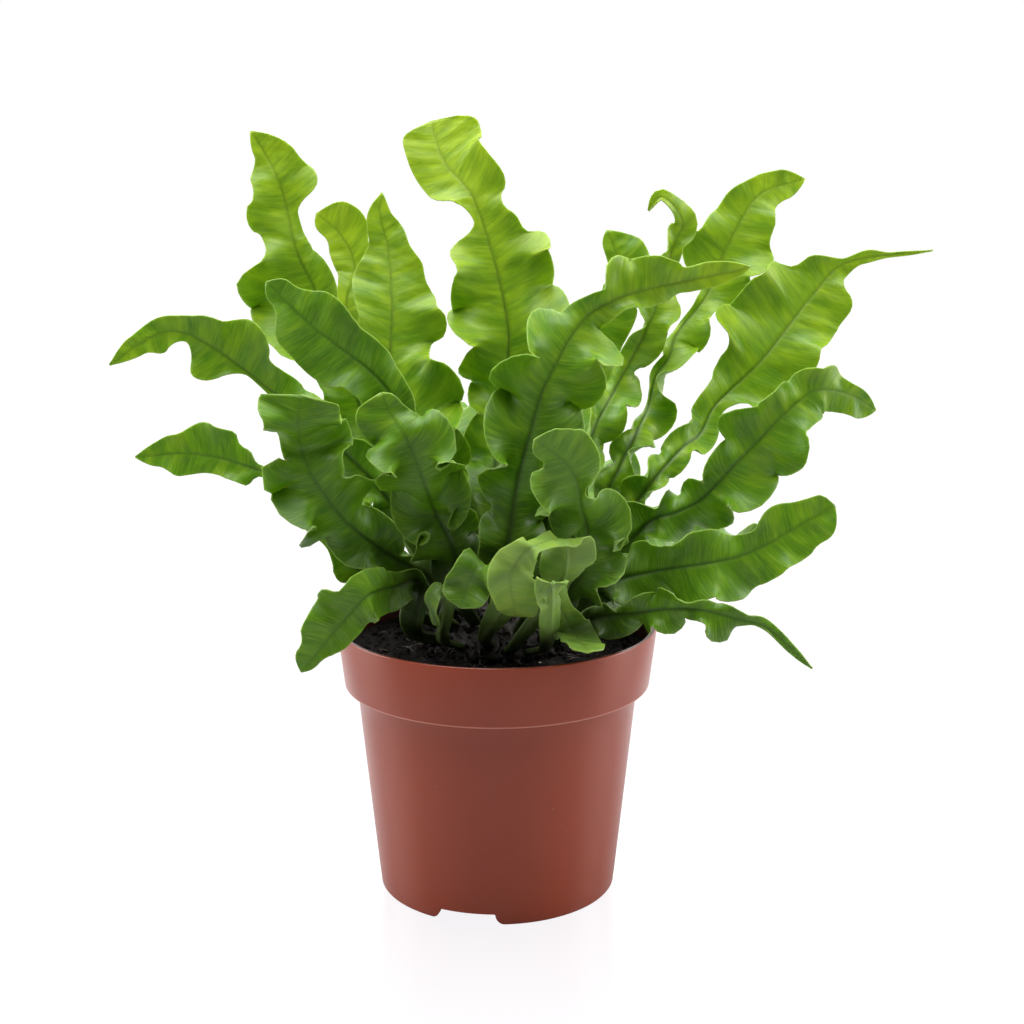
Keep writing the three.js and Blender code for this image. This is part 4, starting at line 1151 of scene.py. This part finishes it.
FIBRE_BOW_RADIUS = 7.0 * MM
FIBRE_BOW_ANGLE = 1.1
FIBRE_LEAN = 0.5
FIBRE_SIZES = (0.3, 1.1)
FULL_TURN = 6.28


def grained(tree, colours, scale, detail=2.0, low=0, high=1):
    """Noise over a piece's own coordinates, and the colour that follows it."""
    grain = noise_at(tree, object_place(tree), scale, detail)
    return grain, blended(tree, remapped(tree, grain, low, high, 0, 1), *colours)


soil_peat, tree, shader = new_material("moist_peat", 0.78)
grain, colour = grained(tree, PEAT_COLOURS, scale=420, detail=5, low=0.35, high=0.7)
fill(tree, shader, {
    "Base Color": colour,
    "Specular IOR Level": 0.08,
    "Normal": bumped(tree, grain, strength=0.8, depth=0.8 * MM),
})

soil_foot = inner_step + SOIL_GAP
ledge_radius = COLLAR_FOOT_RADIUS - WALL - SOIL_GAP
lip_radius = lip_inside - WALL - SOIL_GAP
soil_rise = (SOIL_TOP - soil_foot) / (POT_HEIGHT - LIP_DROP - soil_foot)
soil_radius = ledge_radius + (lip_radius - ledge_radius) * soil_rise
soil_profile = [
    (0, FLOOR_TOP + SOIL_GAP),
    (body_radius(FLOOR_TOP) - WALL - SOIL_GAP, FLOOR_TOP + SOIL_GAP),
    (BODY_TOP_RADIUS - WALL - SOIL_GAP, soil_foot),
    (ledge_radius, soil_foot),
    (soil_radius - SOIL_CORNER[0], SOIL_TOP - SOIL_CORNER[1]),
]
for ring in range(SOIL_RINGS + 1):
    radius = (soil_radius - SOIL_EDGE) * (1 - ring / SOIL_RINGS)
    soil_profile.append((radius, SOIL_TOP - SOIL_SINK))
soil = turned("soil_peat", soil_profile, soil_peat, SOIL_SIDES)
for vertex in soil.data.vertices:
    here = (np.array(vertex.co) - POT_AXIS) / MM
    if here[2] < SOIL_TOP - LUMPED_DEPTH:
        continue
    lumps = 0
    for scale, height, shift in LUMPS:
        lumps += height * noise.noise(Vector(here) * scale + Vector(shift))
    from_wall = soil_radius - math.hypot(here[0], here[1])
    vertex.co.z += MM * float(LUMP_HEIGHT * lumps * smooth_step(*LUMPS_FROM_WALL, from_wall))
finished(soil, "soil", "soil")


def new_tree(name, *inputs):
    """A geometry tree that grows pieces on a surface, and its inputs by name."""
    tree = bpy.data.node_groups.new(name, "GeometryNodeTree")
    tree.is_modifier = True
    sockets = tree.interface
    sockets.new_socket(name="Pieces", in_out="OUTPUT", socket_type="NodeSocketGeometry")
    for label, kind in (
        ("Surface", "Geometry"), ("Pieces per square metre", "Float"), ("Seed", "Int"),
        ("Material", "Material"), *[(label, "Float") for label in inputs],
    ):
        sockets.new_socket(name=label, in_out="INPUT", socket_type="NodeSocket" + kind)
    return tree, new_node(tree, "NodeGroupInput")


def spots_on(tree, given):
    return new_node(tree, "GeometryNodeDistributePointsOnFaces", {
        "Mesh": given["Surface"],
        "Density": given["Pieces per square metre"],
        "Seed": given["Seed"],
    })


def set_out(tree, spots, shape, rotation, scale):
    """A shape set on each spot, all as one mesh or curve."""
    placed = new_node(tree, "GeometryNodeInstanceOnPoints", {
        "Points": spots["Points"], "Instance": shape, "Rotation": rotation, "Scale": scale,
    })
    return new_node(tree, "GeometryNodeRealizeInstances", {0: placed[0]})[0]


def random_number(tree, least, most):
    return new_node(tree, "FunctionNodeRandomValue", {2: least, 3: most})[1]


def random_vector(tree, least, most):
    values = {"Min": least, "Max": most}
    node = new_node(tree, "FunctionNodeRandomValue", values, data_type="FLOAT_VECTOR")
    return node["Value"]


def smoothed(tree, geometry):
    return new_node(tree, "GeometryNodeSetShadeSmooth", {0: geometry})[0]


def given_out(tree, given, geometry):
    """The tree's last nodes: its pieces get their material and leave it."""
    values = {"Geometry": geometry, "Material": given["Material"]}
    dressed = new_node(tree, "GeometryNodeSetMaterial", values)
    new_node(tree, "NodeGroupOutput", {0: dressed[0]})


def scattered(name, ground, reach, tree, material, slot, density, seed, **settings):
    """A new piece grown by a tree on the ground's upper side, up to a reach from the axis."""
    piece = bpy.data.objects.new(name, ground.data.copy())
    bpy.context.collection.objects.link(piece)
    work = bmesh.new()
    work.from_mesh(piece.data)
    far = []
    for face in work.faces:
        here = (np.array(face.calc_center_median()) - POT_AXIS) / MM
        if here[2] < SOIL_TOP - SCATTER_DEPTH or math.hypot(here[0], here[1]) > reach:
            far.append(face)
    bmesh.ops.delete(work, geom=far, context="FACES")
    work.to_mesh(piece.data)
    work.free()
    modifier = piece.modifiers.new("scatter", "NODES")
    modifier.node_group = tree
    settings.update({"Pieces per square metre": density, "Seed": seed, "Material": material})
    for item in tree.interface.items_tree:
        if item.in_out == "INPUT" and item.name in settings:
            modifier[item.identifier] = settings[item.name]
    plain_mesh(piece)
    finished(piece, slot)


# crumbs: small lumps of peat, each a squashed ball turned at random and roughened
crumbs, given = new_tree("peat_crumbs", "Smallest", "Largest")
values = {"Radius": CRUMB_RADIUS, "Subdivisions": 2}
ball = new_node(crumbs, "GeometryNodeMeshIcoSphere", values)["Mesh"]
size = combined(crumbs, "POWER", random_number(crumbs, 0.0, 1.0), FEW_LARGE)
squashed = vector_math(crumbs, "SCALE", {
    0: random_vector(crumbs, CRUMB_LEAST, CRUMB_MOST),
    "Scale": remapped(crumbs, size, 0, 1, given["Smallest"], given["Largest"]),
})[0]
spin = random_vector(crumbs, (0, 0, 0), (FULL_TURN, FULL_TURN, FULL_TURN))
balls = set_out(crumbs, spots_on(crumbs, given), ball, spin, squashed)
lumpy = new_node(crumbs, "ShaderNodeTexNoise", {"Scale": CRUMB_ROUGH_SCALE})["Color"]
centred = vector_math(crumbs, "SUBTRACT", {0: lumpy, 1: NOISE_MIDDLE})[0]
pushed = vector_math(crumbs, "SCALE", {0: centred, "Scale": CRUMB_ROUGHNESS})[0]
roughened = new_node(crumbs, "GeometryNodeSetPosition", {"Geometry": balls, "Offset": pushed})
given_out(crumbs, given, smoothed(crumbs, roughened[0]))

crumb_reach = soil_radius - CRUMBS_FROM_WALL
scattered(
    "soil_crumbs", soil, crumb_reach, crumbs, soil_peat, "soil",
    density=130000.0, seed=4, Smallest=0.25, Largest=1.7,
)

pale_grain, tree, shader = new_material("pale_grains", 0.7)
_, colour = grained(tree, PALE_GRAIN_COLOURS, scale=700)
fill(tree, shader, {"Base Color": colour})
scattered(
    "soil_pale_grains", soil, crumb_reach, crumbs, pale_grain, "soil",
    density=1800.0, seed=11, Smallest=0.25, Largest=0.8,
)

# fibres: thin root hairs and straws, each a short bent tube lying at a low angle
fibres, given = new_tree("root_fibres", "Thickness")
values = {"Radius": FIBRE_BOW_RADIUS, "Sweep Angle": FIBRE_BOW_ANGLE, "Resolution": 8}
bow = new_node(fibres, "GeometryNodeCurveArc", values)["Curve"]
bows = set_out(
    fibres, spots_on(fibres, given), bow,
    random_vector(fibres, (-FIBRE_LEAN, -FIBRE_LEAN, 0), (FIBRE_LEAN, FIBRE_LEAN, FULL_TURN)),
    random_number(fibres, *FIBRE_SIZES),
)
values = {"Resolution": 5, "Radius": given["Thickness"]}
section = new_node(fibres, "GeometryNodeCurvePrimitiveCircle", values)["Curve"]
values = {"Curve": bows, "Profile Curve": section, "Fill Caps": True}
tubes = new_node(fibres, "GeometryNodeCurveToMesh", values)[0]
given_out(fibres, given, smoothed(fibres, tubes))

root_fibre, tree, shader = new_material("root_fibre", 0.55)
_, colour = grained(tree, FIBRE_COLOURS, scale=160, low=0.35, high=0.65)
fill(tree, shader, {"Base Color": colour})
scattered(
    "soil_fibres", soil, soil_radius - FIBRES_FROM_WALL, fibres, root_fibre, "soil",
    density=11000.0, seed=7, Thickness=0.12 * MM,
)


# The crown is the short upright stock that the fronds grow from, a low dome of brown fibre under
# dark papery scales. Its foot is sunk in the soil.
CROWN_SIDES = 64
CROWN_ARC_STEPS = 14
CROWN_ROOT_RADIUS = 21.0
CROWN_DEPTH = 6.0
CROWN_COLOURS = (linear(14, 11, 9), linear(44, 36, 27))
DENT_DEPTH = 0.5
DENT_SCALE = 0.5
SCALE_LENGTH = 5.0
SCALE_HALF_WIDTH = 1.2
SCALE_FLATNESS = (1, 0.3, 1)
SCALE_LEAN = (0.9, 0.9, 3.1)
SCALE_SIZES = (0.5, 1.0)

crown_fibre, tree, shader = new_material("crown_fibre", 0.7)
felt, colour = grained(tree, CROWN_COLOURS, scale=380, detail=4, low=0.35, high=0.7)
felt_bump = bumped(tree, felt, strength=0.7, depth=0.6 * MM)
fill(tree, shader, {"Base Color": colour, "Normal": felt_bump})

crown_low = SOIL_TOP + SOIL_GAP
start = math.degrees(math.asin((crown_low - CROWN_CENTRE_HEIGHT) / CROWN_RADIUS))
dome = arc((0, CROWN_CENTRE_HEIGHT), CROWN_RADIUS, start, 90, CROWN_ARC_STEPS + 1)
crown = turned("crown_stock", [
    (0, SOIL_TOP - CROWN_DEPTH),
    (CROWN_ROOT_RADIUS, SOIL_TOP - CROWN_DEPTH),
    (CROWN_ROOT_RADIUS, crown_low),
    *dome[:-1],
    (0, CROWN_CENTRE_HEIGHT + CROWN_RADIUS),
], crown_fibre, CROWN_SIDES)
for vertex in crown.data.vertices:
    here = (np.array(vertex.co) - POT_AXIS) / MM
    if here[2] > crown_low + DENT_DEPTH:
        dent = DENT_DEPTH * (noise.noise(Vector(here) * DENT_SCALE) - 1)
        vertex.co += Vector((here - CROWN_CENTRE) / CROWN_RADIUS) * dent * MM
finished(crown, "crown", "crown")

# scales: narrow pointed flakes that stand off the crown at all angles
scales, given = new_tree("crown_scales", "Length")
values = {
    "Vertices": 6,
    "Radius Top": 0.0,
    "Radius Bottom": SCALE_HALF_WIDTH * MM,
    "Depth": given["Length"],
}
point = new_node(scales, "GeometryNodeMeshCone", values)["Mesh"]
values = {"Geometry": point, "Scale": SCALE_FLATNESS}
flake = new_node(scales, "GeometryNodeTransform", values)[0]
spots = spots_on(scales, given)
lean = random_vector(scales, tuple(-angle for angle in SCALE_LEAN), SCALE_LEAN)
values = {"Rotation": spots["Rotation"], "Rotate By": lean}
turn = new_node(scales, "FunctionNodeRotateRotation", values, rotation_space="LOCAL")[0]
flakes = set_out(scales, spots, flake, turn, random_number(scales, *SCALE_SIZES))
given_out(scales, given, flakes)
scattered(
    "crown_scales", crown, CROWN_RADIUS, scales, crown_fibre, "crown",
    density=220000.0, seed=5, Length=SCALE_LENGTH * MM,
)
